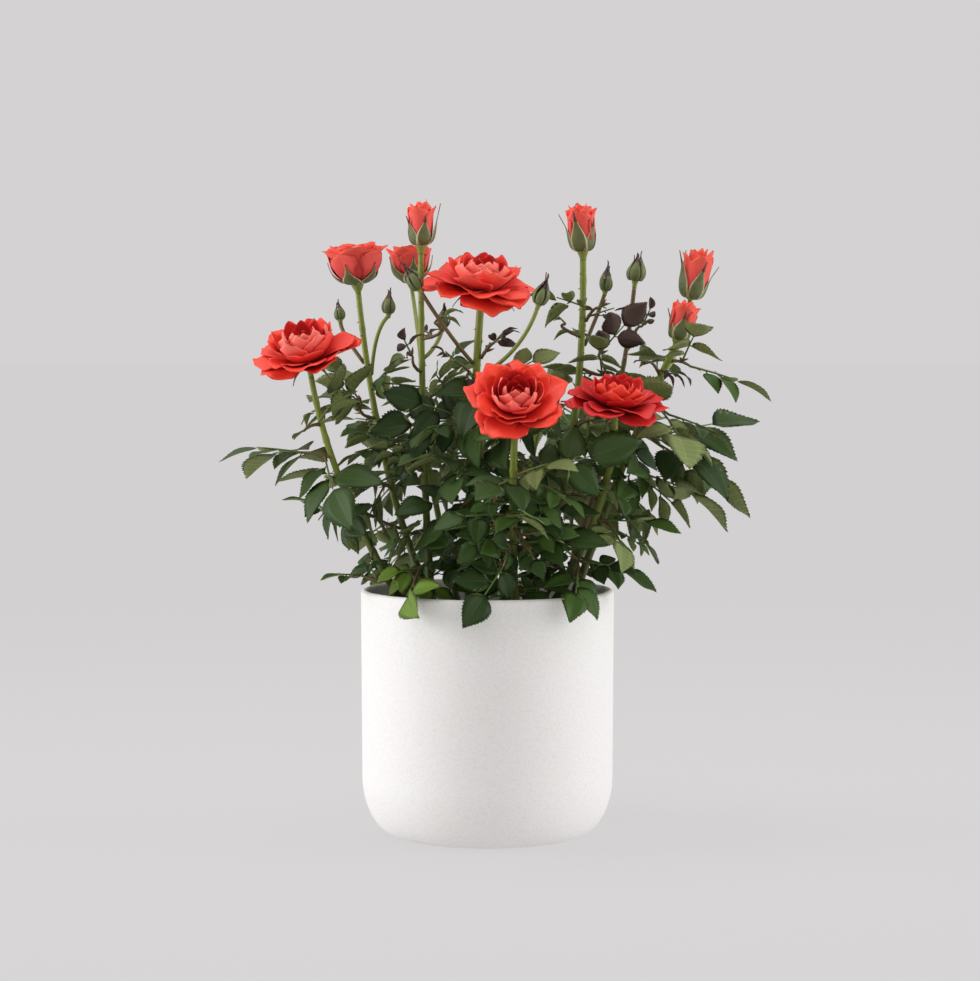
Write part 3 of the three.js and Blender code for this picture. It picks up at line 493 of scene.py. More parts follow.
def green_bark(tree):
    """Young living bark: satiny, clouded dark green by the soil and finely streaked yellow-green above."""
    place = add(tree, "ShaderNodeTexCoord", {}, {}).outputs["Object"]
    patch = add(tree, "ShaderNodeTexNoise", {}, {"Vector": place, "Scale": 1 / (14 * MM), "Detail": 3.0})
    streak = add(tree, "ShaderNodeTexNoise", {}, {"Vector": place, "Scale": 1 / (1.6 * MM), "Detail": 2.0})
    low = add(tree, "ShaderNodeMix", {"data_type": "RGBA"}, {
        "Factor": patch.outputs["Fac"], "A": linear("3D4A18"), "B": linear("586722")})
    high = add(tree, "ShaderNodeMix", {"data_type": "RGBA"}, {
        "Factor": streak.outputs["Fac"], "A": linear("66741E"), "B": linear("8A982E")})
    along = add(tree, "ShaderNodeAttribute", {"attribute_name": "along"}, {})
    colour = add(tree, "ShaderNodeMix", {"data_type": "RGBA"}, {
        "Factor": along.outputs["Fac"], "A": low.outputs["Result"], "B": high.outputs["Result"]})
    relief = add(tree, "ShaderNodeBump", {}, {
        "Strength": 0.3, "Distance": 0.15 * MM, "Height": streak.outputs["Fac"]})
    return {"Base Color": colour.outputs["Result"], "Roughness": 0.45, "Normal": relief.outputs["Normal"]}


# Ripened bark turns from green to a dull reddish brown in patches of about a centimetre
russet_bark = mottled("russet_rose_bark", linear("5B3A2C"), linear("6C602C"), (11, 3.0), 0.5)
cane_barks = [new_material("green_rose_bark", green_bark), russet_bark]
RUSSET_CANES = ("cane_right_slim",)
PRICKLE_SPACING = 7
PRICKLES_FROM = 0.06
PRICKLES_TO = 0.97
PRICKLE_SEAT = 0.9
PRICKLE_HOOK = 0.35
# Where the bark begins to turn from dark to yellow-green, and over what share of the cane it does
RIPE_FROM = 0.15
RIPE_SPAN = 0.6

cane_pieces = Pieces()
prickle_seats = []
prickle_ways = []
for number, (name, cane) in enumerate(canes.items()):
    line = cane["line"]
    length = line.length()
    rings = int(length / CANE_STEP)
    centres = []
    radii = []
    ripeness = []
    first_node = FIRST_NODE + FIRST_NODE_RANGE * dice(number, 1, 1, 1)
    angles = 2 * math.pi * np.arange(CANE_SIDES) / CANE_SIDES
    for ring in range(rings + 1):
        t = ring / rings
        reach = t * length
        nearest = round((reach - first_node) / NODE_SPACING) * NODE_SPACING + first_node
        swell = NODE_SWELL * math.exp(-((reach - nearest) / NODE_WIDTH) ** 2)
        radius = cane_radius(cane, t) * (1 + FOOT_FLARE * math.exp(-t / FLARE_LENGTH))
        ribs = 1 + BARK_RELIEF * np.cos(BARK_RIBS * angles + 0.04 * reach + number)
        radii.append(radius * BARK_SHARE * (1 + swell) * ribs)
        centres.append(line.point(t))
        ripeness += [min(1, max(0, (t - RIPE_FROM) / RIPE_SPAN))] * CANE_SIDES
    cane_pieces.take(*tube(centres, radii, CANE_SIDES, True), int(name in RUSSET_CANES), ripeness)
    for k in range(int(length / PRICKLE_SPACING)):
        t = (k + 0.2 + 0.6 * dice(number, k, 2, 1)) * PRICKLE_SPACING / length
        if PRICKLES_FROM < t < PRICKLES_TO:
            way = line.way(t)
            angle = 2 * math.pi * dice(number, k, 2, 2)
            first = unit(np.cross(way, [0, 1, 0.1]))
            out = math.cos(angle) * first + math.sin(angle) * np.cross(way, first)
            prickle_seats.append(line.point(t) + out * cane_radius(cane, t) * PRICKLE_SEAT)
            prickle_ways.append(unit(out - PRICKLE_HOOK * way))
cane_piece = cane_pieces.make("canes", cane_barks)
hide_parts(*canes)

PRICKLE_LENGTH = 1.5
PRICKLE_RADIUS = 0.42
# Dry horny skin, straw brown and faintly glossy
prickle_skin = new_material("prickle_skin", lambda tree: {"Base Color": linear("8C6A3E"), "Roughness": 0.5})


def set_prickles(tree, inlet):
    """A small five-sided cone at each seat, turned the way that the seat's own attribute gives."""
    cone = add(tree, "GeometryNodeMeshCone", {}, {
        "Vertices": 5, "Radius Bottom": inlet["Prickle radius"], "Depth": inlet["Prickle length"]})
    stand = add(tree, "GeometryNodeInputNamedAttribute", {"data_type": "FLOAT_VECTOR"}, {"Name": "stand"})
    aim = add(tree, "FunctionNodeAlignRotationToVector", {"axis": "Z"}, {
        "Vector": stand.outputs["Attribute"]})
    many = add(tree, "GeometryNodeInstanceOnPoints", {}, {
        "Points": inlet["Geometry"], "Instance": cone.outputs["Mesh"], "Rotation": aim.outputs["Rotation"]})
    return many.outputs[0]


seat_mesh = bpy.data.meshes.new("prickle_seats")
seat_mesh.from_pydata(np.array(prickle_seats) * MM, [], [])
stand_data = seat_mesh.attributes.new("stand", "FLOAT_VECTOR", "POINT")
stand_data.data.foreach_set("vector", np.array(prickle_ways, dtype=np.float32).ravel())
prickle_sizes = {"Prickle length": PRICKLE_LENGTH * MM, "Prickle radius": PRICKLE_RADIUS * MM}
grown_piece("prickles", seat_mesh, prickle_sizes, set_prickles, prickle_skin)


# Where the blooms stand
# Four open roses, two half-open cups, four coloured buds and seven green buds. Each sits on the tip of a cane
# or on a thin stem of its own that leaves the cane lower down.

# A row gives the kind, the cane, how far up it the stem leaves, the knee and neck of a stem of its own, the
# way the bloom faces, and its radius and height
BLOOMS = {
    "rose_left": ["open", "cane_left", 1, None, None, (-0.16, -0.40, 0.9), 27, 23],
    "rose_centre": ["open", "cane_centre", 1, None, None, (0.08, -0.26, 0.96), 31, 22],
    "rose_front": ["open", "cane_front", 1, None, None, (0.02, -0.7, 0.71), 25.5, 21],
    "rose_right": ["open", "cane_right", 1, None, None, (0.1, -0.3, 0.95), 26, 20],
    "cup_left": ["cup", "cane_left_tall", 1, None, None, (-0.1, -0.1, 1), 18.5, 21],
    "cup_behind": ["cup", "cane_left_bud", 0.7, (-37, 32, 262), (-40.5, 50, 283), (-0.04, 0.02, 1), 13.5, 20],
    "bud_top_left": ["bud", "cane_left_bud", 1, None, None, (0, 0, 1), 7.6, 21.5],
    "bud_top_right": ["bud", "cane_right_tall", 1, None, None, (-0.05, -0.03, 1), 8.4, 23.5],
    "bud_far_right_upper": ["bud", "cane_far_right", 0.82, (98, 18, 248), (105.4, 25, 274.5), (0.22, 0, 0.97),
                            7.8, 25],
    "bud_far_right_lower": ["bud", "cane_far_right", 1, None, None, (0.24, -0.03, 0.97), 8, 19.5],
    "bud_round": ["green", "cane_right_slim", 1, None, None, (0.12, 0, 1), 4.6, 13],
    "bud_leaning": [
        "green", "cane_centre", 0.78, (-20, -20, 258), (-33.4, -25, 278), (-0.55, 0, 0.83), 3, 15],
    "bud_by_rose": ["green", "cane_centre", 0.74, (14, -30, 250), (25, -40, 270), (0.3, -0.1, 0.95), 3.2, 13],
    "bud_pointed": ["green", "cane_left_tall", 0.76, (-57, 17, 256), (-51.3, 17, 266), (0.05, 0, 1), 3, 12],
    "bud_tiny": ["green", "cane_left_tall", 0.8, (-74, 36, 255), (-77.5, 42, 263), (-0.15, 0.1, 1), 2.4, 10],
    "bud_small": ["green", "cane_left_bud", 0.74, (-27, 14, 251), (-23.5, 20, 259), (0.1, 0.1, 1), 2.8, 11],
    "bud_narrow": ["green", "cane_right_tall", 0.76, (57, 32, 266), (61.4, 34, 278), (0.12, 0, 1), 2.6, 14],
}
BLOOM_STEM_RADIUS = 1.1
NECK = 1.6


def crossways(axis):
    """Two ways square to the axis and to each other."""
    first = unit(np.cross([0, 1, 0.1], axis))
    return first, np.cross(axis, first)


def leave_host(host, t, target, radius):
    """The point just clear of its cane's bark where a limb that heads for the target starts."""
    point = host["line"].point(t)
    way = unit(np.array(target, float) - point)
    lean = abs(float(way @ host["line"].way(t)))
    rise = math.sqrt(max(0.05, 1 - lean * lean))
    return point + way * ((cane_radius(host, t) + CLEAR + radius * lean) / rise)


blooms = {}
for name, (kind, host_name, t, knee, neck, facing, radius, height) in BLOOMS.items():
    host = canes[host_name]
    axis = unit(np.array(facing, float))
    if knee is None:
        stem_radius = host["tip"]
        rise = host["line"].way(1)
        start = host["line"].point(1) + rise * CLEAR
        turn = start + rise * NECK
        stem = Bend(start, turn, turn + axis * NECK)
    else:
        stem_radius = BLOOM_STEM_RADIUS
        stem = Bend.through(leave_host(host, t, knee, stem_radius), knee, neck)
    blooms[name] = {"kind": kind, "axis": axis, "radius": radius, "height": height, "stem": stem,
                    "stem_radius": stem_radius, "base": stem.point(1), "own": knee is not None}


# Where the leaves grow
# Side shoots leave the canes and carry compound leaves of three or five leaflets a golden angle apart. Each
# leaf is tried a few times, and one that would touch bark, a bloom, the pot or another leaf is left out.

# A row gives a shoot's cane, how far up it the shoot leaves, the tip of its last leaf, its leaves, their
# size, the leaflets of each, and how far the leaves lean outwards
MASSES = {
    "leaves_left_low": ["cane_left", 0.16, (-84, -26, 135), 3, 22, 5, 1.0],
    "leaves_left_middle": ["cane_left", 0.36, (-102, -28, 178), 4, 25, 5, 1.2],
    "leaves_left_far": ["cane_left", 0.66, (-138, -16, 202), 3, 33, 5, 0.5],
    "leaves_left_under_rose": ["cane_left", 0.8, (-98, -38, 206), 2, 25, 3, 1.3],
    "leaves_left_shoulder": ["cane_left_tall", 0.74, (-46, -14, 244), 4, 27, 5, 0.7],
    "leaves_left_upper": ["cane_left_tall", 0.64, (-86, 4, 250), 4, 27, 5, 0.8],
    "leaves_left_centre": ["cane_left_tall", 0.44, (-72, -36, 190), 4, 29, 5, 1.2],
    "leaves_left_inner": ["cane_left_bud", 0.26, (-56, -52, 158), 4, 27, 5, 1.2],
    "leaves_rim_left": ["cane_left_bud", 0.17, (-44, -74, 122), 2, 22, 3, 1.0],
    "leaves_rim_centre": ["cane_front", 0.34, (0, -84, 113), 3, 23, 5, 1.4],
    "leaves_rim_right": ["cane_right", 0.26, (42, -82, 122), 3, 23, 5, 1.4],
    "leaves_front_low": ["cane_front", 0.48, (-14, -80, 146), 4, 27, 5, 1.3],
    "leaves_front_middle": ["cane_centre", 0.5, (-20, -66, 178), 4, 29, 5, 1.4],
    "leaves_front_right": ["cane_front", 0.68, (50, -74, 172), 4, 29, 5, 1.2],
    "leaves_centre_upper": ["cane_centre", 0.6, (-42, -46, 208), 4, 28, 5, 1.2],
    "leaves_centre_top": ["cane_centre", 0.7, (38, -12, 248), 4, 28, 5, 0.7],
    "leaves_right_low": ["cane_right", 0.44, (82, -34, 148), 3, 27, 5, 1.2],
    "leaves_right_middle": ["cane_far_right", 0.42, (106, -30, 161), 4, 33, 5, 1.2],
    "leaves_right_far": ["cane_far_right", 0.54, (140, 4, 167), 4, 33, 5, 0.5],
    "leaves_right_shoulder": ["cane_far_right", 0.64, (131, -10, 202), 3, 32, 5, 1.0],
    "leaves_right_tip": ["cane_far_right", 0.9, (149, 10, 227), 3, 27, 5, 0.6],
    "leaves_over_right": ["cane_right_tall", 0.56, (100, -16, 232), 4, 31, 5, 0.9],
    "leaves_top_right": ["cane_right_tall", 0.7, (82, 20, 274), 4, 22, 5, 0.7],
    "leaves_top_left": ["cane_left_bud", 0.62, (-10, 4, 258), 4, 24, 5, 0.8],
    "leaves_back_left": ["cane_back_left", 0.8, (-92, 86, 214), 4, 30, 5, 0.9],
    "leaves_back_middle": ["cane_back_left", 0.96, (-8, 104, 244), 3, 30, 5, 0.9],
    "leaves_back_right": ["cane_back_right", 0.84, (88, 86, 226), 4, 30, 5, 0.9],
    "leaves_back_low": ["cane_back_left", 0.3, (-62, 92, 146), 3, 30, 5, 1.1],
    "leaves_back_low_right": ["cane_back_right", 0.3, (58, 94, 144), 3, 29, 5, 1.1],
    "leaves_side_right": ["cane_right_slim", 0.38, (112, 60, 184), 3, 30, 5, 1.1],
}
# Shoots too fine for the solids: inside the crown, young reddish ones at its top, and at its back and foot
FINE_SHOOTS = {
    "fine": [
        ("cane_left", 0.26, (-58, -44, 142), 2, 22, 5, 1.2),
        ("cane_left_tall", 0.3, (-80, 10, 172), 3, 22, 5, 1.0),
        ("cane_left_tall", 0.56, (-28, -24, 214), 3, 22, 5, 1.0),
        ("cane_left_bud", 0.44, (-58, -22, 206), 3, 22, 5, 1.1),
        ("cane_centre", 0.36, (-4, -50, 150), 3, 23, 5, 1.3),
        ("cane_centre", 0.44, (30, -30, 182), 3, 23, 5, 1.2),
        ("cane_front", 0.6, (-8, -76, 172), 2, 22, 5, 1.3),
        ("cane_centre", 0.62, (18, 16, 224), 3, 24, 5, 0.9),
        ("cane_left_bud", 0.52, (-12, -30, 226), 3, 22, 5, 1.0),
        ("cane_front", 0.4, (28, -72, 140), 3, 23, 5, 1.3),
        ("cane_right", 0.6, (34, -58, 188), 3, 24, 5, 1.2),
        ("cane_right", 0.72, (90, -40, 196), 3, 26, 5, 1.0),
        ("cane_right_tall", 0.36, (72, -10, 176), 3, 25, 5, 1.1),
        ("cane_right_tall", 0.48, (34, -8, 208), 3, 25, 5, 1.0),
        ("cane_right_slim", 0.56, (92, 36, 224), 3, 25, 5, 0.9),
        ("cane_far_right", 0.3, (88, -22, 142), 2, 26, 5, 1.2),
    ],
    "young": [
        ("cane_left_bud", 0.7, (-46, -18, 262), 2, 16, 5, 0.8),
        ("cane_left_bud", 0.78, (-18, -8, 278), 2, 14, 3, 0.6),
        ("cane_left_tall", 0.86, (-52, 8, 264), 2, 16, 5, 0.8),
        ("cane_left", 0.86, (-64, -20, 222), 2, 16, 5, 0.8),
        ("cane_centre", 0.74, (-26, -22, 252), 3, 17, 5, 0.8),
        ("cane_centre", 0.8, (12, -22, 262), 2, 16, 5, 0.8),
        ("cane_right_tall", 0.8, (34, 12, 268), 2, 18, 5, 0.8),
        ("cane_right_tall", 0.84, (62, 16, 274), 3, 20, 5, 0.8),
        ("cane_right_slim", 0.82, (92, 34, 276), 2, 18, 5, 0.8),
        ("cane_far_right", 0.8, (78, -12, 248), 2, 16, 5, 0.8),
    ],
    "low": [
        ("cane_back_left", 0.55, (-62, 70, 186), 3, 26, 5, 1.0),
        ("cane_back_right", 0.55, (56, 82, 190), 3, 26, 5, 1.0),
        ("cane_back_right", 0.42, (10, 98, 176), 3, 26, 5, 1.0),
        ("cane_back_left", 0.68, (-30, 98, 214), 3, 26, 5, 1.0),
        ("cane_left_bud", 0.1, (-28, 42, 140), 3, 22, 5, 1.2),
        ("cane_centre", 0.1, (6, 38, 142), 3, 22, 5, 1.2),
        ("cane_right_tall", 0.12, (40, 46, 142), 3, 22, 5, 1.2),
        ("cane_centre", 0.14, (-26, -52, 138), 3, 22, 5, 1.2),
        ("cane_front", 0.08, (16, 8, 136), 3, 20, 5, 1.2),
        ("cane_right_tall", 0.08, (34, 14, 135), 3, 20, 5, 1.2),
        ("cane_centre", 0.06, (-4, 10, 136), 3, 20, 5, 1.2),
    ],
}
STALK_SHARE = {3: 0.65, 5: 1.15}
REACH_SHARE = {3: 1.6, 5: 2.1}
SHORTEST_TWIG = 10
TWIG_RISE = 0.1
TWIG_RADIUS = 0.9
STALK_RADIUS = 0.5
FIRST_LEAF = 0.12
LEAF_SPAN = 0.8
GOLDEN_ANGLE = math.radians(137.508)
LEAST_SIZE = 0.8
SIZE_RANGE = 0.25
LOWEST_PITCH = -38
PITCH_RANGE = 66
# What each further try changes: the way of a last leaf, the size of another and the way it heads
TIP_SWAY = 0.1
SIZE_LOSS = 0.02
HEADING_SWAY = 0.4
OUT_PULL = 0.5
FACE_TWIST = 60
LEAST_LEAN = 0.6
LEAN_RANGE = 0.8
# A leaflet's place along the stalk, the angle it turns aside and its share of the leaf's size
LEAFLETS = [(1, 0, 1), (0.64, 60, 0.86), (0.64, -60, 0.86), (0.32, 66, 0.68), (0.32, -66, 0.68)]
LEAST_DROOP = 6
DROOP_RANGE = 24
LEAFLET_SWAY = 0.5
LEAST_LENGTH = 0.92
LENGTH_RANGE = 0.16
LEAST_WIDTH = 0.64
WIDTH_RANGE = 0.1
PETIOLULE = 1.2
OUTLINE = np.array([(0, 0), (0.28, 0.4), (0.62, 0.44), (1, 0), (0.62, -0.44), (0.28, -0.4)])
LEAF_HALF_THICKNESS = 0.4
LEAF_MARGIN = 0.35
OWN_MARGIN = 0.12
BARK_MARGIN = 0.5
POT_MARGIN = 1.8
SOIL_MARGIN = 1.5
LOWEST_LEAF = 100
POT_STEPS = 8
LEAF_TRIES = 16
STRICT_TRIES = 9
TWIG_TRIES = 12
TWIG_DICE = 97
CANE_RODS = 12
BLOOM_RODS = 4
TWIG_RODS = 4
# The room that a bloom fills, as shares of its radius and height; leaves keep out of it
BLOOM_ROOM = {
    "open": [(0.15, 0), (0.85, 0.2), (1, 0.5), (0.6, 1)],
    "cup": [(0.15, 0), (0.8, 0.4), (1, 1)],
    "bud": [(0.25, 0), (1, 0.3), (1, 0.8), (0.5, 1)],
    "green": [(0.35, 0), (1, 0.35), (0.5, 0.8), (0.2, 1)],
}
ROOM_SIDES = 8
ROOM_SKIN = 0.6
# Leaves that each shoot carries beyond the solids' own, how much smaller they are and how much more they hang
EXTRA_LEAVES = 4
EXTRA_SHARE = 0.95
EXTRA_HANG = 14
EXTRA_TRIES = 14
EXTRA_FIRST = 50
# The front's sides and the top are open enough for the sky to show, so the shoots there carry few or none
OPEN_SIDE = 55
OPEN_FRONT = 40
OPEN_TOP = 222
OPEN_TOP_EXTRAS = 1
# No added leaf hangs in front of a bloom
BLOOM_GAP = 5
MOST_OBSTACLES = 6000

obstacles = []
centre_table = np.zeros((MOST_OBSTACLES, 3))
bound_table = np.zeros(MOST_OBSTACLES)


def obstacle(points, edges, normals, radius, owner):
    """A convex body that a radius thickens, with the ways that a separating plane can take."""
    points = np.array(points, float)
    centre = points.mean(axis=0)
    bound = math.sqrt(((points - centre) ** 2).sum(axis=1).max()) + radius
    return {"points": points, "edges": np.array(edges, float), "normals": np.array(normals, float),
            "radius": radius, "owner": owner, "centre": centre, "bound": bound}


def stand_in_the_way(*made):
    for thing in made:
        centre_table[len(obstacles)] = thing["centre"]
        bound_table[len(obstacles)] = thing["bound"]
        obstacles.append(thing)


def near(thing, margin):
    """The obstacles whose bounding balls come within the margin of the thing's own."""
    count = len(obstacles)
    gaps = centre_table[:count] - thing["centre"]
    limit = bound_table[:count] + thing["bound"] + margin
    return [obstacles[i] for i in np.nonzero((gaps * gaps).sum(axis=1) < limit * limit)[0]]


def rod(start, end, radius, owner):
    way = unit(end - start)
    return obstacle([start, end], [way], [way], radius, owner)


def clear_of(a, b, margin):
    """Whether a plane parts the two convex bodies by more than their radii and the margin."""
    gap = b["centre"] - a["centre"]
    if float(gap @ gap) > (a["bound"] + b["bound"] + margin) ** 2:
        return True
    need = a["radius"] + b["radius"] + margin
    crossed = np.cross(a["edges"][:, None, :], b["edges"][None, :, :]).reshape(-1, 3)
    axes = np.concatenate([a["normals"], b["normals"], gap[None, :], crossed]).T
    lengths = np.sqrt((axes * axes).sum(axis=0))
    first = a["points"] @ axes
    second = b["points"] @ axes
    apart = np.maximum(second.min(axis=0) - first.max(axis=0), first.min(axis=0) - second.max(axis=0))
    return bool(((apart > need * lengths) & (lengths > 1e-6)).any())


def leaflet_outline(base, axis, normal, length, width, owner):
    across = np.cross(normal, axis)
    points = base + np.outer(OUTLINE[:, 0] * length, axis) + np.outer(OUTLINE[:, 1] * width, across)
    edges = np.roll(points, -1, axis=0) - points
    edges /= np.linalg.norm(edges, axis=1)[:, None]
    normals = np.concatenate([normal[None, :], np.cross(normal, edges)])
    thing = obstacle(points, edges, normals, LEAF_HALF_THICKNESS, owner)
    thing.update(base=base, axis=axis, normal=normal, length=length, width=width)
    return thing


def clear_of_pot(leaflet):
    """Whether a leaflet misses the pot's wall and the soil and doesn't hang too low."""
    points = leaflet["points"]
    across = points[1] - points[5]
    inside = POT_RADIUS - POT_WALL - POT_MARGIN
    outside = POT_RADIUS + POT_MARGIN
    for i in range(POT_STEPS + 1):
        share = i / POT_STEPS
        for j in (-1, 0, 1):
            spot = points[0] + (points[3] - points[0]) * share + across * 0.5 * j * math.sin(math.pi * share)
            radius = math.hypot(spot[0], spot[1])
            if spot[2] < LOWEST_LEAF:
                return False
            if spot[2] < SOIL_TOP + SOIL_MARGIN and radius < POT_RADIUS:
                return False
            if spot[2] < POT_HEIGHT + POT_MARGIN and inside < radius < outside:
                return False
    return True


def turned_about(vector, axis, angle):
    along_axis = axis * (axis @ vector)
    return along_axis + (vector - along_axis) * math.cos(angle) + np.cross(axis, vector) * math.sin(angle)


for name, cane in canes.items():
    for i in range(CANE_RODS):
        start = cane["line"].point(i / CANE_RODS)
        end = cane["line"].point((i + 1) / CANE_RODS)
        stand_in_the_way(rod(start, end, cane_radius(cane, i / CANE_RODS), name))
for name, bloom in blooms.items():
    for i in range(BLOOM_RODS):
        start = bloom["stem"].point(i / BLOOM_RODS)
        end = bloom["stem"].point((i + 1) / BLOOM_RODS)
        stand_in_the_way(rod(start, end, bloom["stem_radius"], name))
    first, second = crossways(bloom["axis"])
    rings = []
    for share_out, share_up in BLOOM_ROOM[bloom["kind"]]:
        middle = bloom["base"] + bloom["axis"] * share_up * bloom["height"]
        reach = share_out * bloom["radius"]
        corners = [2 * math.pi * i / ROOM_SIDES for i in range(ROOM_SIDES)]
        rings.append([
            middle + reach * (math.cos(angle) * first + math.sin(angle) * second) for angle in corners])
    edges = []
    normals = [bloom["axis"]]
    for k in range(1, len(rings)):
        for i in range(ROOM_SIDES):
            round_it = unit(rings[k][(i + 1) % ROOM_SIDES] - rings[k][i])
            rise = unit(rings[k][i] - rings[k - 1][i])
            if k == 1 and i < ROOM_SIDES / 2:
                edges.append(round_it)
            edges.append(rise)
            normals.append(unit(np.cross(round_it, rise)))
    stand_in_the_way(obstacle(np.concatenate(rings), edges, normals, ROOM_SKIN, name))


def grow_twigs(rows, first_index):
    """The shoots of a table; each takes the first of a few bends that is clear of everything else."""
    made = {}
    for index, (name, row) in enumerate(rows.items(), first_index):
        host_name, t, tip, count, size, leaflets, lean = row
        host = canes[host_name]
        tip = np.array(tip, float)
        way = unit(tip - host["line"].point(t))
        start = leave_host(host, t, tip, TWIG_RADIUS)
        span = math.dist(tip, start)
        reach = size * REACH_SHARE[leaflets]
        scale = min(1, (span - SHORTEST_TWIG) / reach)
        end = tip - way * reach * scale
        for attempt in range(TWIG_TRIES):
            rolls = [dice(index + 1, TWIG_DICE, attempt + 1, face) - 0.5 for face in (1, 2, 3)]
            knee = (start + end) / 2
            knee = knee + UP * (TWIG_RISE * math.dist(start, end) + attempt * rolls[0] * 2)
            knee = knee + np.array([rolls[1], rolls[2], 0]) * attempt * 2
            line = Bend.through(start, knee, end)
            rods = []
            for i in range(TWIG_RODS):
                begin = line.point(0.15 / TWIG_RODS if i == 0 else i / TWIG_RODS)
                rods.append(rod(begin, line.point((i + 1) / TWIG_RODS), TWIG_RADIUS, name))
            free = all((i == 0 and other["owner"] == host_name) or clear_of(piece, other, BARK_MARGIN)
                       for i, piece in enumerate(rods) for other in near(piece, BARK_MARGIN))
            if free:
                made[name] = {"index": index, "tip": tip, "way": way, "size": size, "scale": scale,
                              "count": count, "leaflets": leaflets, "lean": lean, "line": line}
                stand_in_the_way(*rods)
                break
    return made


def grow_leaf(name, twig, place, attempt, extra=None):
    """One compound leaf, or None where it would touch something.

    The shoot's own leaves sit at even places, the last at its tip. An added leaf has extra, its share of the
    way up.
    """
    def roll(face):
        return dice(twig["index"] + 1, place + 1, attempt + 1, face)

    added = extra is not None
    last = not added and place == twig["count"] - 1
    t = 1 if last else FIRST_LEAF + LEAF_SPAN * place / max(1, twig["count"] - 1)
    if added:
        t = extra
    base = twig["line"].point(t)
    out = unit(np.array([base[0], base[1], 0]))
    if last:
        size = twig["size"] * twig["scale"]
        way = unit(twig["tip"] - base)
        way = unit(way + np.array([roll(2) - 0.5, roll(3) - 0.5, roll(4) - 0.5]) * TIP_SWAY * attempt)
    else:
        size = twig["size"] * (LEAST_SIZE + SIZE_RANGE * roll(1)) * (1 - SIZE_LOSS * attempt)
        if added:
            size *= EXTRA_SHARE
        heading = math.atan2(twig["way"][1], twig["way"][0]) + GOLDEN_ANGLE * (place + 1)
        heading += (roll(2) - 0.5) * (1 + HEADING_SWAY * attempt)
        pitch = math.radians(LOWEST_PITCH + PITCH_RANGE * roll(3) - (EXTRA_HANG if added else 0))
        level = math.cos(pitch)
        way = np.array([math.cos(heading) * level, math.sin(heading) * level, math.sin(pitch)])
        way = unit(way + out * OUT_PULL)
    rachis = size * STALK_SHARE[twig["leaflets"]]
    face = UP + out * twig["lean"] * (LEAST_LEAN + LEAN_RANGE * roll(6))
    face = unit(face - way * (face @ way))
    face = turned_about(face, way, math.radians((roll(5) - 0.5) * FACE_TWIST))
    across = np.cross(face, way)
    stalk = rod(base + way * (TWIG_RADIUS + CLEAR), base + way * rachis, STALK_RADIUS, name)
    own_rods = twig.setdefault("rods", [other for other in obstacles if other["owner"] == name][:TWIG_RODS])
    rod_ids = {id(other) for other in own_rods}
    for other in near(stalk, BARK_MARGIN):
        if other["owner"] != name:
            if not clear_of(stalk, other, BARK_MARGIN):
                return None
        elif id(other) not in rod_ids and not clear_of(stalk, other, OWN_MARGIN):
            return None
    leaflets = []
    for q, (up, turn, share) in enumerate(LEAFLETS[:twig["leaflets"]]):
        droop = math.radians(LEAST_DROOP + DROOP_RANGE * roll(10 + q))
        flat = way * math.cos(math.radians(turn)) + across * math.sin(math.radians(turn))
        sway = across * LEAFLET_SWAY * (roll(20 + q) - 0.5)
        normal = unit(face + sway + way * LEAFLET_SWAY * (roll(30 + q) - 0.5))
        normal = unit(normal - flat * (normal @ flat))
        axis = flat * math.cos(droop) - normal * math.sin(droop)
        top = normal * math.cos(droop) + flat * math.sin(droop)
        length = size * share * (LEAST_LENGTH + LENGTH_RANGE * roll(40 + q))
        width = length * (LEAST_WIDTH + WIDTH_RANGE * roll(50 + q))
        root = base + way * rachis * up + axis * (0 if q == 0 else PETIOLULE)
        leaflet = leaflet_outline(root, axis, top, length, width, name)
        fits = clear_of_pot(leaflet)
        if fits:
            for other in near(leaflet, LEAF_MARGIN):
                if not clear_of(leaflet, other, OWN_MARGIN if other["owner"] == name else LEAF_MARGIN):
                    fits = False
                    break
        fits = fits and all(clear_of(leaflet, other, OWN_MARGIN) for other in leaflets)
        if fits:
            leaflet["seat"] = base + way * rachis * up
            leaflet["q"] = q
            leaflets.append(leaflet)
        elif q == 0:
            return None
    most = twig["leaflets"] - 1
    if len(leaflets) < (most if attempt < STRICT_TRIES else min(3, most)):
        return None
    return {"name": name, "base": base, "way": way, "rachis": rachis, "face": face, "size": size,
            "stalk": stalk, "leaflets": leaflets, "number": (twig["index"], place)}


leaves = []


def grow_leaves(twigs):
    """The leaves of the shoots: first each shoot's last one, then the ones below it, round by round."""
    rounds = max(twig["count"] for twig in twigs.values())
    for turn in range(rounds):
        for name, twig in twigs.items():
            if turn < twig["count"]:
                for attempt in range(LEAF_TRIES):
                    leaf = grow_leaf(name, twig, twig["count"] - 1 - turn, attempt)
                    if leaf is not None:
                        stand_in_the_way(leaf["stalk"], *leaf["leaflets"])
                        leaves.append(leaf)
                        break


twigs = grow_twigs(MASSES, 0)
grow_leaves(twigs)
solid_leaves = len(leaves)
fine_rows = {f"{kind}_{i}": row for kind, rows in FINE_SHOOTS.items() for i, row in enumerate(rows)}
fine_twigs = grow_twigs(fine_rows, len(MASSES))
grow_leaves(fine_twigs)


def hides_a_bloom(tips):
    """Whether any of the points stands in front of a bloom as the photo's side sees it."""
    for bloom in blooms.values():
        middle = bloom["base"] + bloom["axis"] * bloom["height"] / 2
        gap = bloom["radius"] + BLOOM_GAP
        in_front = (tips[:, 1] < middle[1]) & (np.abs(tips[:, 0] - middle[0]) < gap)
        if (in_front & (np.abs(tips[:, 2] - middle[2]) < bloom["height"] / 2 + BLOOM_GAP)).any():
            return True
    return False


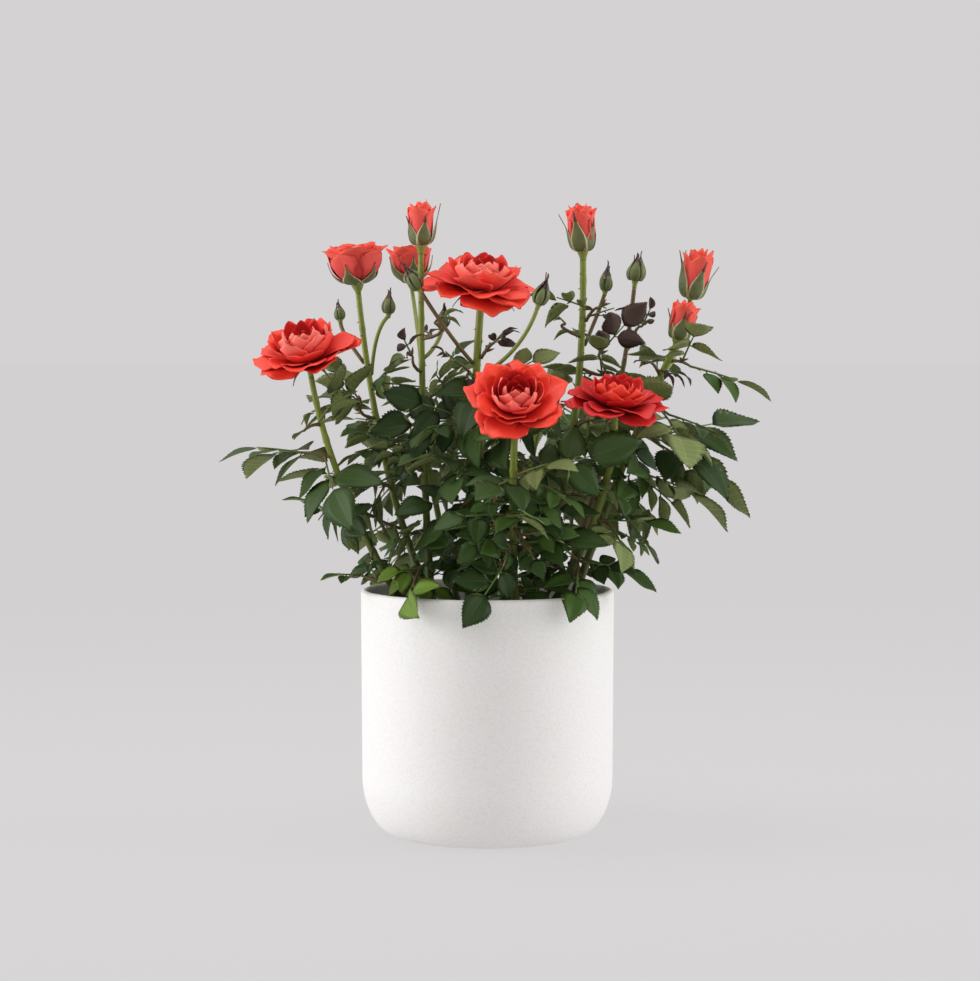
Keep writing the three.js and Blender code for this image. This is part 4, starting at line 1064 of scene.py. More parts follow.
box_low = np.array(solid_box[0]) / MM - 1
box_high = np.array(solid_box[1]) / MM + 1
for turn in range(EXTRA_LEAVES):
    for name, twig in {**twigs, **fine_twigs}.items():
        if abs(twig["tip"][0]) > OPEN_SIDE and twig["tip"][1] < OPEN_FRONT:
            continue
        if turn >= OPEN_TOP_EXTRAS and twig["tip"][2] > OPEN_TOP:
            continue
        if name.startswith("young"):
            continue
        for attempt in range(EXTRA_TRIES):
            share = 0.05 + 0.9 * dice(twig["index"] + 1, EXTRA_FIRST + turn, attempt, 60)
            leaf = grow_leaf(name, twig, EXTRA_FIRST + turn, attempt, share)
            if leaf is None:
                continue
            tips = np.concatenate([leaflet["points"] for leaflet in leaf["leaflets"]])
            if (tips > box_low).all() and (tips < box_high).all() and not hides_a_bloom(tips):
                stand_in_the_way(leaf["stalk"], *leaf["leaflets"])
                leaves.append(leaf)
                break
leaflet_count = sum(len(leaf["leaflets"]) for leaf in leaves)
print("leaves:", solid_leaves, "of the solids,", len(leaves), "in all, with", leaflet_count, "leaflets")


# Side shoots and leaf stalks
# Slim green shoots with a red flush in patches, and the stalks of the compound leaves with a pair of small
# pointed stipules where each leaf begins.

# Soft young bark, green with a red flush in patches of about a centimetre
young_bark = mottled("young_rose_bark", linear("56602A"), linear("6A4430"), (9, 3.0), 0.5)
# A leaf stalk's smooth green skin has the soft gloss of a fresh stem
stalk_skin = new_material("leaf_stalk_green", lambda tree: {"Base Color": linear("58702F"), "Roughness": 0.5})
# Stipules dry to a papery, nearly matt brown
stipule_skin = new_material("stipule_brown", lambda tree: {"Base Color": linear("7A4A38"), "Roughness": 0.6})

TWIG_STEPS = 14
TWIG_SIDES = 7
# A shoot's radius at its foot and what it loses to its tip, as shares, and how far it swells at each bud
TWIG_FOOT = 1.05
TWIG_LOSS = 0.35
TWIG_SWELL = 1.15
TWIG_SINK = 0.8
STALK_STEPS = 5
STALK_SIDES = 5
STALK_FOOT = 1.25
STALK_LOSS = 0.55
STALK_BOW = 0.04
PETIOLULE_RADII = [0.38, 0.3]
STIPULE_LENGTH = 5.5
STIPULE_WIDTH = 1.6
STIPULE_THICKNESS = 0.2
STIPULE_CURL = 0.1
STIPULE_KEEL = 0.12
STIPULE_SPREAD = 0.45
STIPULE_SEAT = 0.6
# A stipule's width along its length, as shares of both
BLADE_ROWS = [(0, 0.25), (0.25, 0.8), (0.5, 1), (0.78, 0.6), (1, 0.06)]


def stipule_mesh(base, axis, normal):
    """A small pointed blade with a keel, closed above and below."""
    across = np.cross(normal, axis)
    points = []
    for lift in (0, -STIPULE_THICKNESS):
        for u, wide in BLADE_ROWS:
            middle = base + axis * STIPULE_LENGTH * u - normal * STIPULE_CURL * STIPULE_LENGTH * u * u
            for v in (-1, 0, 1):
                rise = normal * (abs(v) * STIPULE_KEEL * STIPULE_WIDTH * wide + lift)
                points.append(middle + across * v * 0.5 * STIPULE_WIDTH * wide + rise)
    faces = []
    half = len(BLADE_ROWS) * 3
    for r in range(len(BLADE_ROWS) - 1):
        for c in (0, 1):
            a = r * 3 + c
            faces.append((a, a + 3, a + 4, a + 1))
            faces.append((half + a, half + a + 1, half + a + 4, half + a + 3))
    for r in range(len(BLADE_ROWS) - 1):
        faces.append((r * 3, half + r * 3, half + r * 3 + 3, r * 3 + 3))
        faces.append((r * 3 + 2, r * 3 + 5, half + r * 3 + 5, half + r * 3 + 2))
    faces.append((0, 1, 2, half + 2, half + 1, half))
    end = half - 3
    faces.append((end, half + end, half + end + 1, half + end + 2, end + 2, end + 1))
    return points, faces


shoot_pieces = Pieces()
for twig in [*twigs.values(), *fine_twigs.values()]:
    line = twig["line"]
    centres = [line.point(i / TWIG_STEPS) for i in range(TWIG_STEPS + 1)]
    centres[0] = centres[0] - line.way(0) * (CLEAR + TWIG_SINK)
    taper = [TWIG_FOOT - TWIG_LOSS * i / TWIG_STEPS for i in range(TWIG_STEPS + 1)]
    radii = [TWIG_RADIUS * share * (TWIG_SWELL if i % 4 == 2 else 1) for i, share in enumerate(taper)]
    shoot_pieces.take(*tube(centres, radii, TWIG_SIDES), 0)
for leaf in leaves:
    base, way, face = leaf["base"], leaf["way"], leaf["face"]
    bow = STALK_BOW * leaf["rachis"]
    centres = []
    for i in range(STALK_STEPS + 1):
        t = i / STALK_STEPS
        centres.append(base + way * leaf["rachis"] * t + face * bow * 4 * t * (1 - t) * 0.3)
    radii = [STALK_RADIUS * (STALK_FOOT - STALK_LOSS * i / STALK_STEPS) for i in range(STALK_STEPS + 1)]
    shoot_pieces.take(*tube(centres, radii, STALK_SIDES), 1)
    for leaflet in leaf["leaflets"]:
        if leaflet["q"] > 0:
            ends = [leaflet["seat"], leaflet["base"] + leaflet["axis"] * 0.8]
            shoot_pieces.take(*tube(ends, PETIOLULE_RADII, STALK_SIDES), 1)
    across = np.cross(face, way)
    for side in (-1, 1):
        spread = unit(way + across * STIPULE_SPREAD * side)
        shoot_pieces.take(*stipule_mesh(base + way * STIPULE_SEAT, spread, face), 2)
shoot_pieces.make("side_shoots", [young_bark, stalk_skin, stipule_skin])


# Leaflets
# Oval pointed leaflets with a finely toothed edge. They are dark and satiny above with a fine sunken midrib,
# and paler and matt below, where the ribs stand out. Young leaves are yellow-green near the soil and bronze
# at the top.
VEINS = 6
VEIN_HALF = 0.006
RIB_HALF = 0.04
TOOTH = 0.075
# Where the two teeth between a pair of side ribs rise (1) and fall back to the edge (0)
TOOTH_STEPS = ((0.34, 1), (0.44, 0), (0.84, 1), (0.94, 0))
# The first side ribs' place along the leaflet, the stretch that they share and how far they slant forward
VEINS_FROM = 0.1
VEINS_SPAN = 0.8
SLANT = 0.42
HALF_WAY = 0.52
LEAF_SKIN = 0.28
# The least fold, arch and wave of a leaflet and how far chance adds to them; young ones arch more
LEAST_FOLD = 0.10
FOLD_RANGE = 0.22
LEAST_ARCH = 0.05
ARCH_RANGE = 0.13
YOUNG_ARCH = 0.4
TWIST_RANGE = 0.5
WAVE = 0.018
LEAST_WAVE = 0.4
LEAF_SLIMNESS = 0.95
YOUNG_SLIMNESS = 0.6
LEAF_GLOSS = 0.54
LEAF_TONES = {"dark": "344C1D", "deep": "2B421A", "mid": "3F5C22", "light": "66822A", "bronze": "3A2A2B"}
# How far a leaflet's edge stands from its midrib, from root to tip, as shares of its length and half width
EDGE_AT = [0, 0.04, 0.12, 0.25, 0.38, 0.5, 0.63, 0.75, 0.86, 0.94, 1]
EDGE_OUT = [0, 0.3, 0.64, 0.93, 1, 0.96, 0.8, 0.55, 0.28, 0.1, 0]


def leaf_skin(name, hexa, roughness):
    """A leaf's waxy skin: one tone, clouded by a few per cent, with pores that break up its shine.

    Real pores are too fine to show, so they are drawn about a millimetre apart.
    """
    tone = linear(hexa)
    darker = [channel * 0.85 for channel in tone[:3]] + [1]
    lighter = [min(1, channel * 1.15) for channel in tone[:3]] + [1]
    return mottled(name, darker, lighter, (7, 3.0), roughness, (0.9, 2.0, 0.35, 0.12), 0.26)


leaf_materials = [leaf_skin("rose_leaf_" + tone, hexa, LEAF_GLOSS) for tone, hexa in LEAF_TONES.items()]
# The underside is pale and matt, the sunken midrib above a little glossier, and the ribs below paler still
leaf_materials += [leaf_skin("rose_leaf_" + tone, hexa, roughness) for tone, hexa, roughness in (
    ("under", "78854E", 0.65), ("rib_above", "47592F", 0.45), ("rib_below", "8D9A62", 0.6),
    ("bronze_under", "574640", 0.6))]
UNDER, RIB_ABOVE, RIB_BELOW, BRONZE_UNDER = range(len(LEAF_TONES), len(LEAF_TONES) + 4)
DARK, DEEP, MID, LIGHT, BRONZE = range(len(LEAF_TONES))
BRONZE_FROM = 244


def leaf_template():
    """A leaflet's corners (along, across, tooth, rib), its faces and what each face is.

    Its rows slant forward like the side ribs.
    """
    cuts = [0.0]
    for k in range(VEINS):
        middle = VEINS_FROM + VEINS_SPAN * (k + 0.5) / VEINS
        cuts += [middle - VEIN_HALF, middle + VEIN_HALF]
    cuts.append(1.0)
    flat = []
    faces = []
    paints = []

    def corner(s, v, tooth=0.0, rib=0.0):
        u = s + SLANT * s * (1 - s) * abs(v)
        flat.append((u, v, tooth, rib))
        return len(flat) - 1

    rows = []
    for s in cuts:
        if s in (0, 1):
            row = dict.fromkeys((-1, 1), [corner(s, 0.0)] * 3)
        else:
            row = {side: [corner(s, side * RIB_HALF * (1 - s), 0, 1.0), corner(s, side * HALF_WAY, 0, 0.5),
                          corner(s, side * 1.0)] for side in (-1, 1)}
        rows.append(row)
    for r in range(len(rows) - 1):
        vein = r % 2 == 1
        low, high = rows[r], rows[r + 1]
        faces.append(tuple(dict.fromkeys((high[-1][0], high[1][0], low[1][0], low[-1][0]))))
        paints.append("rib")
        for side in (-1, 1):
            teeth = []
            if not vein:
                s0, s1 = cuts[r], cuts[r + 1]
                steps = TOOTH_STEPS[:2] if r == len(rows) - 2 else TOOTH_STEPS
                for share, out in steps:
                    teeth.append(corner(s0 + (s1 - s0) * share, side * 1.0, out * TOOTH))
            inner = [low[side][0], low[side][1], high[side][1], high[side][0]]
            outer = [low[side][1], low[side][2], *teeth, high[side][2], high[side][1]]
            for loop in (inner, outer):
                loop = tuple(dict.fromkeys(loop))
                faces.append(loop[::-1] if side == 1 else loop)
                paints.append("vein" if vein else "blade")
    return np.array(flat), faces, paints


flat, template_faces, template_paints = leaf_template()
template_u, template_v, template_out, template_rib = flat.T
half_width = np.interp(template_u, EDGE_AT, EDGE_OUT)
# The rows meet in one point at the root and at the tip, and both skins share every corner on the edge
on_edge = (np.abs(template_v) > 0.99) | (template_u > 0.999) | (template_u < 0.001)
upper_of = np.arange(len(flat))
lower_of = upper_of.copy()
inner_ids = np.nonzero(~on_edge)[0]
lower_of[inner_ids] = len(flat) + np.arange(len(inner_ids))


def leaflet_mesh(pieces, leaflet, tone, young, roll):
    """The template bent to one leaflet: folded along its midrib, arched, twisted and a little wavy."""
    length, width = leaflet["length"], leaflet["width"] * (YOUNG_SLIMNESS if young else LEAF_SLIMNESS)
    axis, normal = leaflet["axis"], leaflet["normal"]
    across = np.cross(normal, axis)
    fold = LEAST_FOLD + FOLD_RANGE * roll(1)
    arch = LEAST_ARCH + ARCH_RANGE * roll(2) + (YOUNG_ARCH if young else 0)
    twist = TWIST_RANGE * (roll(3) - 0.5)
    wave = WAVE * length * (LEAST_WAVE + roll(4))
    u = template_u
    v = template_v * half_width * (1 + template_out)
    v = v + np.sign(template_v) * template_out * 0.4
    lift = fold * np.abs(v) * width / 2 - arch * length * (u - 0.35) ** 2 * 1.6
    lift = lift + wave * np.sin(9 * u + 6 * roll(5)) * np.abs(template_v) + twist * v * width / 2 * u
    top = lift - 0.12 * template_rib
    step = u + template_out * 0.25
    points = (leaflet["base"] + np.outer(np.minimum(step, 1.0) * length, axis)
              + np.outer(v * width / 2, across) + np.outer(top, normal))
    below = points[inner_ids] - np.outer(LEAF_SKIN * (0.6 + 0.9 * template_rib[inner_ids]), normal)
    paints = []
    faces = []
    for face, kind in zip(template_faces, template_paints):
        faces.append(face)
        if tone == UNDER:
            paints.append(RIB_BELOW if kind in ("rib", "vein") else UNDER)
        else:
            paints.append(RIB_ABOVE if kind == "rib" else tone)
        faces.append(tuple(int(lower_of[i]) for i in reversed(face)))
        below_paint = BRONZE_UNDER if tone == BRONZE else UNDER
        paints.append(RIB_BELOW if kind in ("rib", "vein") and tone != BRONZE else below_paint)
    pieces.take(np.concatenate([points, below]), faces, paints)


def leaf_tone(leaf):
    """A number in LEAF_TONES by chance and place: bronze at the top, light by the soil, dark between."""
    index, place = leaf["number"]
    draw = dice(index + 1, place + 1, 77, 7)
    across, _, height = leaf["base"]
    if leaf["name"].startswith("young"):
        return BRONZE if draw < 0.8 else MID
    if height > BRONZE_FROM:
        return BRONZE if draw < (0.9 if across > 40 else 0.6) else MID
    if leaf["name"] == "leaves_rim_left" and draw < 0.75 or height < 130 and draw < 0.12:
        return LIGHT
    if draw < 0.66:
        return DARK if draw < 0.38 else DEEP
    return MID


# A few leaves near these places across and up wear the pale underside's colours on both faces, as if turned
# over to show it to the front
TURNED_OVER = [(47, 186), (74, 165), (45, 272), (93, 205)]
turned_over = []
for across_mm, up_mm in TURNED_OVER:
    front = [leaf for leaf in leaves if leaf["base"][1] < 10 and not leaf["name"].startswith("young")]
    spots = [leaf["base"] + leaf["way"] * (leaf["rachis"] + 0.5 * leaf["size"]) for leaf in front]
    misses = [math.hypot(spot[0] - across_mm, spot[2] - up_mm) + 0.4 * spot[1] - leaf["size"]
              for spot, leaf in zip(spots, front)]
    turned_over.append(front[int(np.argmin(misses))]["number"])

# Where the groups of leaves part, in depth and across, and where the solids' masses do by their tips
GROUP_BACK = 30
GROUP_SIDE = 35
MASS_BACK = 50
MASS_LEFT = -38
MASS_RIGHT = 45
leaf_groups = {"left": [], "middle": [], "right": [], "back": []}
for leaf in leaves:
    base = leaf["base"]
    if base[1] > GROUP_BACK:
        group = "back"
    elif base[0] < -GROUP_SIDE:
        group = "left"
    else:
        group = "middle" if base[0] < GROUP_SIDE else "right"
    leaf_groups[group].append(leaf)
for group, members in leaf_groups.items():
    gathered = Pieces()
    for leaf in members:
        tone = UNDER if leaf["number"] in turned_over else leaf_tone(leaf)
        for leaflet in leaf["leaflets"]:
            index, place = leaf["number"]
            leaflet_mesh(gathered, leaflet, tone, leaf["name"].startswith("young"),
                         lambda face: dice(index + 1, place + 1, 60 + leaflet["q"], face))
    gathered.make("leaflets_" + group, leaf_materials)
mass_groups = {"left": [], "middle": [], "right": [], "back": []}
for name, twig in twigs.items():
    tip = twig["tip"]
    if tip[1] > MASS_BACK:
        mass_groups["back"].append(name)
    elif tip[0] < MASS_LEFT:
        mass_groups["left"].append(name)
    else:
        mass_groups["middle" if tip[0] < MASS_RIGHT else "right"].append(name)
for group, names in mass_groups.items():
    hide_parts(*names)


# Blooms
# Each rose is built of thin broad petals a golden angle apart: the outer ones lie open with rolled edges, the
# next lean out, and the inmost close round a small dark hollow. Five sepals stand under the petals, and a hip
# joins them to the stem.
PETAL_SKIN = 0.32
PETAL_ACROSS = 14
PETAL_ALONG = 12
PETAL_STEPS = 24
# A petal's width at its root, and what it gains where it is widest, as shares
PETAL_ROOT = 0.24
PETAL_SWELL = 0.76
# The small point at the middle of a petal's edge, its half width and how far chance moves it aside
PETAL_CUSP = 0.03
CUSP_HALF = 0.2
CUSP_SHIFT = 0.3
# How far a round and a pointed petal fall away beside the cusp, and the broad and fine waves of the edge
ROUND_FALL = 0.2
POINTED_FALL = 0.36
RUFFLE = 0.016
FINE_RUFFLE = 0.01
FINE_WOBBLE = 0.45
# A petal's colour at its root and at its edge, and its roughness. The darker root is partly the petal's own
# colour and partly painted shade of the bloom's hollows, and the bright orange edge is partly painted light
PETAL_TONES = {
    "face": ("C8202A", "FF4E36", 0.5),
    "deep": ("9A1220", "E6302E", 0.5),
    "back": ("E0464C", "FA624E", 0.6),
    "coral": ("E4505A", "FF8272", 0.55),
}


def petal_skin(name, root_hex, edge_hex, roughness):
    """A petal's velvety skin: deep red by its root and orange or coral at its edge, a little cloudy; the dark
    root is partly painted shade and the bright edge partly painted light.

    Its cells are too fine to show, so their grain is drawn at 0.7 mm.
    """
    def paint(tree):
        place = add(tree, "ShaderNodeTexCoord", {}, {}).outputs["Object"]
        along = add(tree, "ShaderNodeAttribute", {"attribute_name": "along"}, {})
        cloud = add(tree, "ShaderNodeTexNoise", {}, {"Vector": place, "Scale": 1 / (5 * MM), "Detail": 2.0})
        spread = add(tree, "ShaderNodeMath", {"operation": "MULTIPLY_ADD"}, {
            0: cloud.outputs["Fac"], 1: 0.35, 2: along.outputs["Fac"]})
        shift = add(tree, "ShaderNodeMath", {"operation": "SUBTRACT", "use_clamp": True}, {
            0: spread.outputs[0], 1: 0.17})
        # From root to edge: the darker root is partly painted shade and the brighter edge partly painted
        # light
        colour = add(tree, "ShaderNodeMix", {"data_type": "RGBA"}, {
            "Factor": shift.outputs[0], "A": linear(root_hex), "B": linear(edge_hex)})
        grain = add(tree, "ShaderNodeTexNoise", {}, {"Vector": place, "Scale": 1 / (0.7 * MM), "Detail": 2.0})
        relief = add(tree, "ShaderNodeBump", {}, {
            "Strength": 0.25, "Distance": 0.1 * MM, "Height": grain.outputs["Fac"]})
        return {"Base Color": colour.outputs["Result"], "Roughness": roughness, "Specular IOR Level": 0.3,
                "Normal": relief.outputs["Normal"]}

    return new_material("rose_petal_" + name, paint)


petal_materials = [petal_skin(name, *look) for name, look in PETAL_TONES.items()]
# The deep paint is the face's red made darker for the roses' hearts and for one darker rose, partly as
# painted shade
PETAL_FACE, PETAL_DEEP_SHADE, PETAL_BACK, PETAL_CORAL = range(len(PETAL_TONES))
petal_pieces = Pieces()


def petal_shell(place_point, top_at, face_paint, back_paint):
    """A thin shell closed round its rim; place_point gives its middle at u across and v from root to edge."""
    rows, columns = PETAL_ALONG + 1, PETAL_ACROSS + 1
    grid = np.zeros((rows, columns, 3))
    values = np.zeros((rows, columns))
    for r in range(rows):
        for c in range(columns):
            u = 2 * c / PETAL_ACROSS - 1
            v = (r / PETAL_ALONG) * top_at(u)
            grid[r, c] = place_point(u, v)
            values[r, c] = v
    normals = np.cross(np.gradient(grid, axis=0), np.gradient(grid, axis=1))
    normals /= np.maximum(np.linalg.norm(normals, axis=2)[:, :, None], 1e-9)
    inner = np.zeros((rows, columns), bool)
    inner[1:-1, 1:-1] = True
    skin = normals * np.where(inner, PETAL_SKIN / 2, 0)[:, :, None]
    below = np.arange(rows * columns).reshape(rows, columns)
    below[inner] = rows * columns + np.arange(inner.sum())
    faces = []
    for r in range(rows - 1):
        for c in range(columns - 1):
            a = r * columns + c
            faces.append((a, a + columns, a + columns + 1, a + 1))
            corners = (below[r, c], below[r, c + 1], below[r + 1, c + 1], below[r + 1, c])
            faces.append(tuple(int(corner) for corner in corners))
    points = np.concatenate([(grid + skin).reshape(-1, 3), (grid - skin)[inner]])
    shades = np.concatenate([values.reshape(-1), values[inner]])
    petal_pieces.take(points, faces, [face_paint, back_paint] * (PETAL_ALONG * PETAL_ACROSS), shades)


def bloom_frame(bloom):
    first, second = crossways(bloom["axis"])
    return np.array([first, second, bloom["axis"]])


def profile_line(start, angles, length, steps):
    """Points (outward, up) of a middle line that turns evenly through the angles, measured off the axis."""
    spot = np.array(start, float)
    line = [spot.copy()]
    for i in range(steps):
        t = (i + 0.5) / steps
        angle = math.radians(np.interp(t, np.linspace(0, 1, len(angles)), angles))
        spot = spot + np.array([math.sin(angle), math.cos(angle)]) * length / steps
        line.append(spot.copy())
    return np.array(line)


def rose_petal(bloom, azimuth, start, angles, length, width, cup, roll_back, paints, wobble, point, seed):
    """A spoon-shaped petal.

    Its sides rise with the radius cup, its upper edges roll back, wobble makes it wavy and point sharpens it.
    """
    basis = bloom_frame(bloom)
    line = profile_line(start, angles, length, PETAL_STEPS)
    ways = np.gradient(line, axis=0)
    ways /= np.linalg.norm(ways, axis=1)[:, None]
    shares = np.linspace(0, 1, PETAL_STEPS + 1)
    tip_shift = CUSP_SHIFT * (dice(seed, 3, 1, 1) - 0.5)
    phases = [2 * math.pi * dice(seed, k, 2, 1) for k in range(4)]
    a, b = math.cos(azimuth), math.sin(azimuth)

    def place_point(u, v):
        reach = min(v, 1.0)
        out, up = (np.interp(reach, shares, line[:, k]) for k in (0, 1))
        way_out, way_up = (np.interp(reach, shares, ways[:, k]) for k in (0, 1))
        spoon = math.sin(math.pi * (0.06 + (0.58 + 0.14 * point) * reach)) ** 0.9
        wide = width * (PETAL_ROOT + PETAL_SWELL * spoon)
        angle = u * wide / cup
        rise = cup * (1 - math.cos(angle))
        rise -= roll_back * abs(u) ** 2.6 * reach ** 2
        rise += wobble * math.sin(4.5 * u + phases[0]) * reach ** 2
        rise += FINE_WOBBLE * wobble * math.sin(10 * u + phases[1]) * reach ** 5
        x = cup * math.sin(angle)
        y = out - way_up * rise
        z = up + way_out * rise
        local = np.array([y * a - x * b, y * b + x * a, z])
        return bloom["base"] + local @ basis

    def top_at(u):
        aside = abs(u - tip_shift * (1 - abs(u)))
        cusp = PETAL_CUSP * math.exp(-(aside / CUSP_HALF) ** 2)
        ruffle = RUFFLE * math.sin(7 * u + phases[2]) + FINE_RUFFLE * math.sin(15 * u + phases[3])
        rounding = (1 - point) * ROUND_FALL * aside ** 2.6 + point * POINTED_FALL * aside ** 1.4
        return 1 - PETAL_CUSP - rounding + cusp + ruffle

    petal_shell(place_point, top_at, *paints)


# Waxy green skins, a little cloudy, with a dull shine: the hip's is the smoothest and shines the most. A
# sepal's downy edges look cream and its thin tip dries to a dull brown.
sepal_materials = [
    mottled("sepal_green", linear("46522C"), linear("76804C"), (3, 3.0), 0.55),
    mottled("sepal_cream_edge", linear("A39A6C"), linear("C4B68C"), (2, 3.0), 0.6),
    mottled("hip_green", linear("707C2E"), linear("949E48"), (4, 3.0), 0.45),
    mottled("sepal_tip_brown", linear("3E2A28"), linear("5E4434"), (2, 3.0), 0.6),
    russet_bark,
    mottled("bud_green", linear("46522A"), linear("66723C"), (2, 3.0), 0.5),
]
SEPAL, SEPAL_EDGE, HIP_SKIN, SEPAL_TIP, RUSSET_STEM, BUD_SKIN = range(len(sepal_materials))
SEPAL_STEPS = 16
# A sepal's half width from root to tip, as shares of its widest, and where its five lines run across
SEPAL_AT = [0, 0.12, 0.28, 0.42, 0.55, 0.7, 0.85, 1]
SEPAL_WIDE = [0.65, 0.88, 1, 0.9, 0.58, 0.24, 0.1, 0.03]
SEPAL_LINES = (-1, -0.78, 0, 0.78, 1)
SEPAL_LEAST = 0.12
SEPAL_SWAY = 0.5
SEPAL_SKIN = 0.4
SEPAL_THINNING = 0.35
# A green bud's sepals fray into a tuft of narrow lobes past the bud
FRINGE = 0.55
sepal_pieces = Pieces()


def sepal(bloom, azimuth, start, angles, length, width, cup, brown_from, edge_paint, seed):
    """A pointed sepal with a long thin tip, curled as the angles say and wrapped round the radius cup."""
    basis = bloom_frame(bloom)
    a, b = math.cos(azimuth), math.sin(azimuth)
    upper, lower = [], []
    sway = SEPAL_SWAY * (dice(seed, 5, 5, 5) - 0.5)
    for i, (out, up) in enumerate(profile_line(start, angles, length, SEPAL_STEPS)):
        t = i / SEPAL_STEPS
        wide = width * float(np.interp(t, SEPAL_AT, SEPAL_WIDE)) + SEPAL_LEAST
        if edge_paint == SEPAL and t > brown_from:
            wide += FRINGE * (1.1 - t) * (1.6 if i % 3 == 0 else 0.6)
        for v in SEPAL_LINES:
            radius = max(out, cup)
            angle = v * wide / radius
            x = radius * math.sin(angle) + sway * length * 0.25 * t * t
            y = out - radius * (1 - math.cos(angle))
            for store, shift in ((upper, 0.0), (lower, SEPAL_SKIN - SEPAL_THINNING * abs(v))):
                if store is upper or abs(v) < 1:
                    local = np.array([(y + shift) * a - x * b, (y + shift) * b + x * a, up])
                    store.append(bloom["base"] + local @ basis)

    def below(r, c):
        return r * 5 + c if c in (0, 4) else len(upper) + r * 3 + c - 1

    faces, paints = [], []
    for r in range(SEPAL_STEPS):
        brown = r / SEPAL_STEPS > brown_from
        for c in range(4):
            i = r * 5 + c
            faces.append((i, i + 5, i + 6, i + 1))
            faces.append((below(r, c), below(r, c + 1), below(r + 1, c + 1), below(r + 1, c)))
            paints += [SEPAL_TIP if brown else (edge_paint if c in (0, 3) else SEPAL)] * 2
    faces.append((0, 1, 2, 3, 4, *[below(0, c) for c in (3, 2, 1)]))
    top = SEPAL_STEPS * 5
    faces.append((top + 4, top + 3, top + 2, top + 1, top, *[below(SEPAL_STEPS, c) for c in (1, 2, 3)]))
    sepal_pieces.take(upper + lower, faces, [*paints, SEPAL, SEPAL_TIP])


def turned_along(bloom, profile, sides):
    points, faces = turned(profile, sides)
    return bloom["base"] + np.array(points, float) @ bloom_frame(bloom), faces


HIP = {"open": 3.6, "cup": 3.6, "bud": 3.2, "green": 1.9}
# How far above the stem's end the petals begin, as a share of the hip's radius
SEAT = {"open": 1.4, "cup": 0.5, "bud": 0.5, "green": 1.0}
FUNNEL = 0.85
# The hip's outline between the stem and the petals: shares of its radius and of its height
HIP_SWELL = [(0.66, 0.3), (0.85, 0.6), (0.95, 0.86)]
HIP_FOOT = 0.9
HIP_COLLAR = 1.05
HIP_TOP = 0.8
HIP_SIDES = 20
STEM_SHARE = 0.96
STEM_SIDES = 10
# A stem of its own and the short neck on a cane's tip: their rings, and how deep they start in the cane
OWN_STEM = (16, 0.8)
SHORT_NECK = (4, 0.5)
RUSSET_STEMS = ("bud_leaning", "bud_narrow", "bud_tiny")


def stem_and_hip(name, bloom):
    """The stem up to the bloom and the swollen hip that carries the petals, each a closed body."""
    stem_radius, line, hip, lift = bloom["stem_radius"], bloom["stem"], bloom["hip"], bloom["lift"]
    steps, sink = OWN_STEM if bloom["own"] else SHORT_NECK
    centres = [line.point(i / steps) for i in range(steps + 1)]
    centres[0] = centres[0] - line.way(0) * (CLEAR + sink)
    stem_paint = RUSSET_STEM if name in RUSSET_STEMS else HIP_SKIN
    slim = stem_radius * STEM_SHARE
    sepal_pieces.take(*tube(centres, [slim] * (steps + 1), STEM_SIDES), stem_paint)
    foot = 0 if bloom["kind"] == "open" or bloom["own"] else -FUNNEL * hip
    outline = [(0, foot - HIP_FOOT), (slim, foot - HIP_FOOT), (stem_radius * HIP_COLLAR, foot)]
    outline += [(hip * wide, foot + (lift - foot) * up) for wide, up in HIP_SWELL]
    outline += [(hip * HIP_TOP, lift), (0, lift)]
    sepal_pieces.take(*turned_along(bloom, outline, HIP_SIDES), HIP_SKIN)


OPEN_PETALS = 42
# An open rose from its outermost petal (0) to its inmost (1). A petal's line leans off the axis by the angles
# low, middle and high; its length, width, root, cup and roll are shares of the bloom's radius
WHORL_AT = [0, 0.14, 0.28, 0.36, 0.48, 0.62, 0.76, 0.86, 1]
WHORLS = {
    "length": [1.03, 0.98, 0.92, 0.84, 0.8, 0.78, 0.7, 0.56, 0.36],
    "low": [78, 76, 72, 68, 62, 54, 42, 28, 10],
    "middle": [94, 86, 74, 54, 44, 34, 21, 8, 0],
    "high": [108, 96, 84, 20, -6, -22, -36, -36, -20],
    "width": [0.47, 0.46, 0.42, 0.35, 0.31, 0.28, 0.25, 0.22, 0.15],
    "root": [0.1, 0.1, 0.1, 0.12, 0.13, 0.12, 0.1, 0.06, 0.03],
    "cup": [0.8, 0.72, 0.62, 0.42, 0.36, 0.3, 0.24, 0.18, 0.1],
    "roll": [0.2, 0.18, 0.15, 0.09, 0.04, 0.02, 0.01, 0, 0],
    "loose": [1, 1, 0.9, 0.6, 0.4, 0.3, 0.2, 0.1, 0],
}
BOWL_FROM = 0.33
BOWL_RISE = 0.65
BOWL_MOST = 1.05
# How far chance turns, bends and lengthens a petal
SWIRL = 0.45
MIDDLE_BEND = 16
EDGE_BEND = 36
LENGTH_CHANGE = 0.2
# Where, from the outermost petal to the inmost, backs turn coral and dark again, and faces turn dark; the
# dark of the inner petals is partly painted shade of the rose's heart
CORAL_FROM = 0.4
CORAL_TO = 0.85
DEEP_SHADE_FROM = 0.56
# Where each open rose's outer petals hang lower, by how many degrees, and how far they all stand up
HANG = {
    "rose_left": ((0.35, -0.94), -7, 13),
    "rose_centre": ((0.97, -0.24), 12, 4),
    "rose_front": ((0.2, -0.98), -16, 24),
    "rose_right": ((0.5, -0.87), 4, 4),
}
# The rose named here is painted deeper all over, partly its own deeper red and partly painted shade
DEEP_SHADED_ROSES = ("rose_right",)
OPEN_SEPAL = (70, 120, 150)


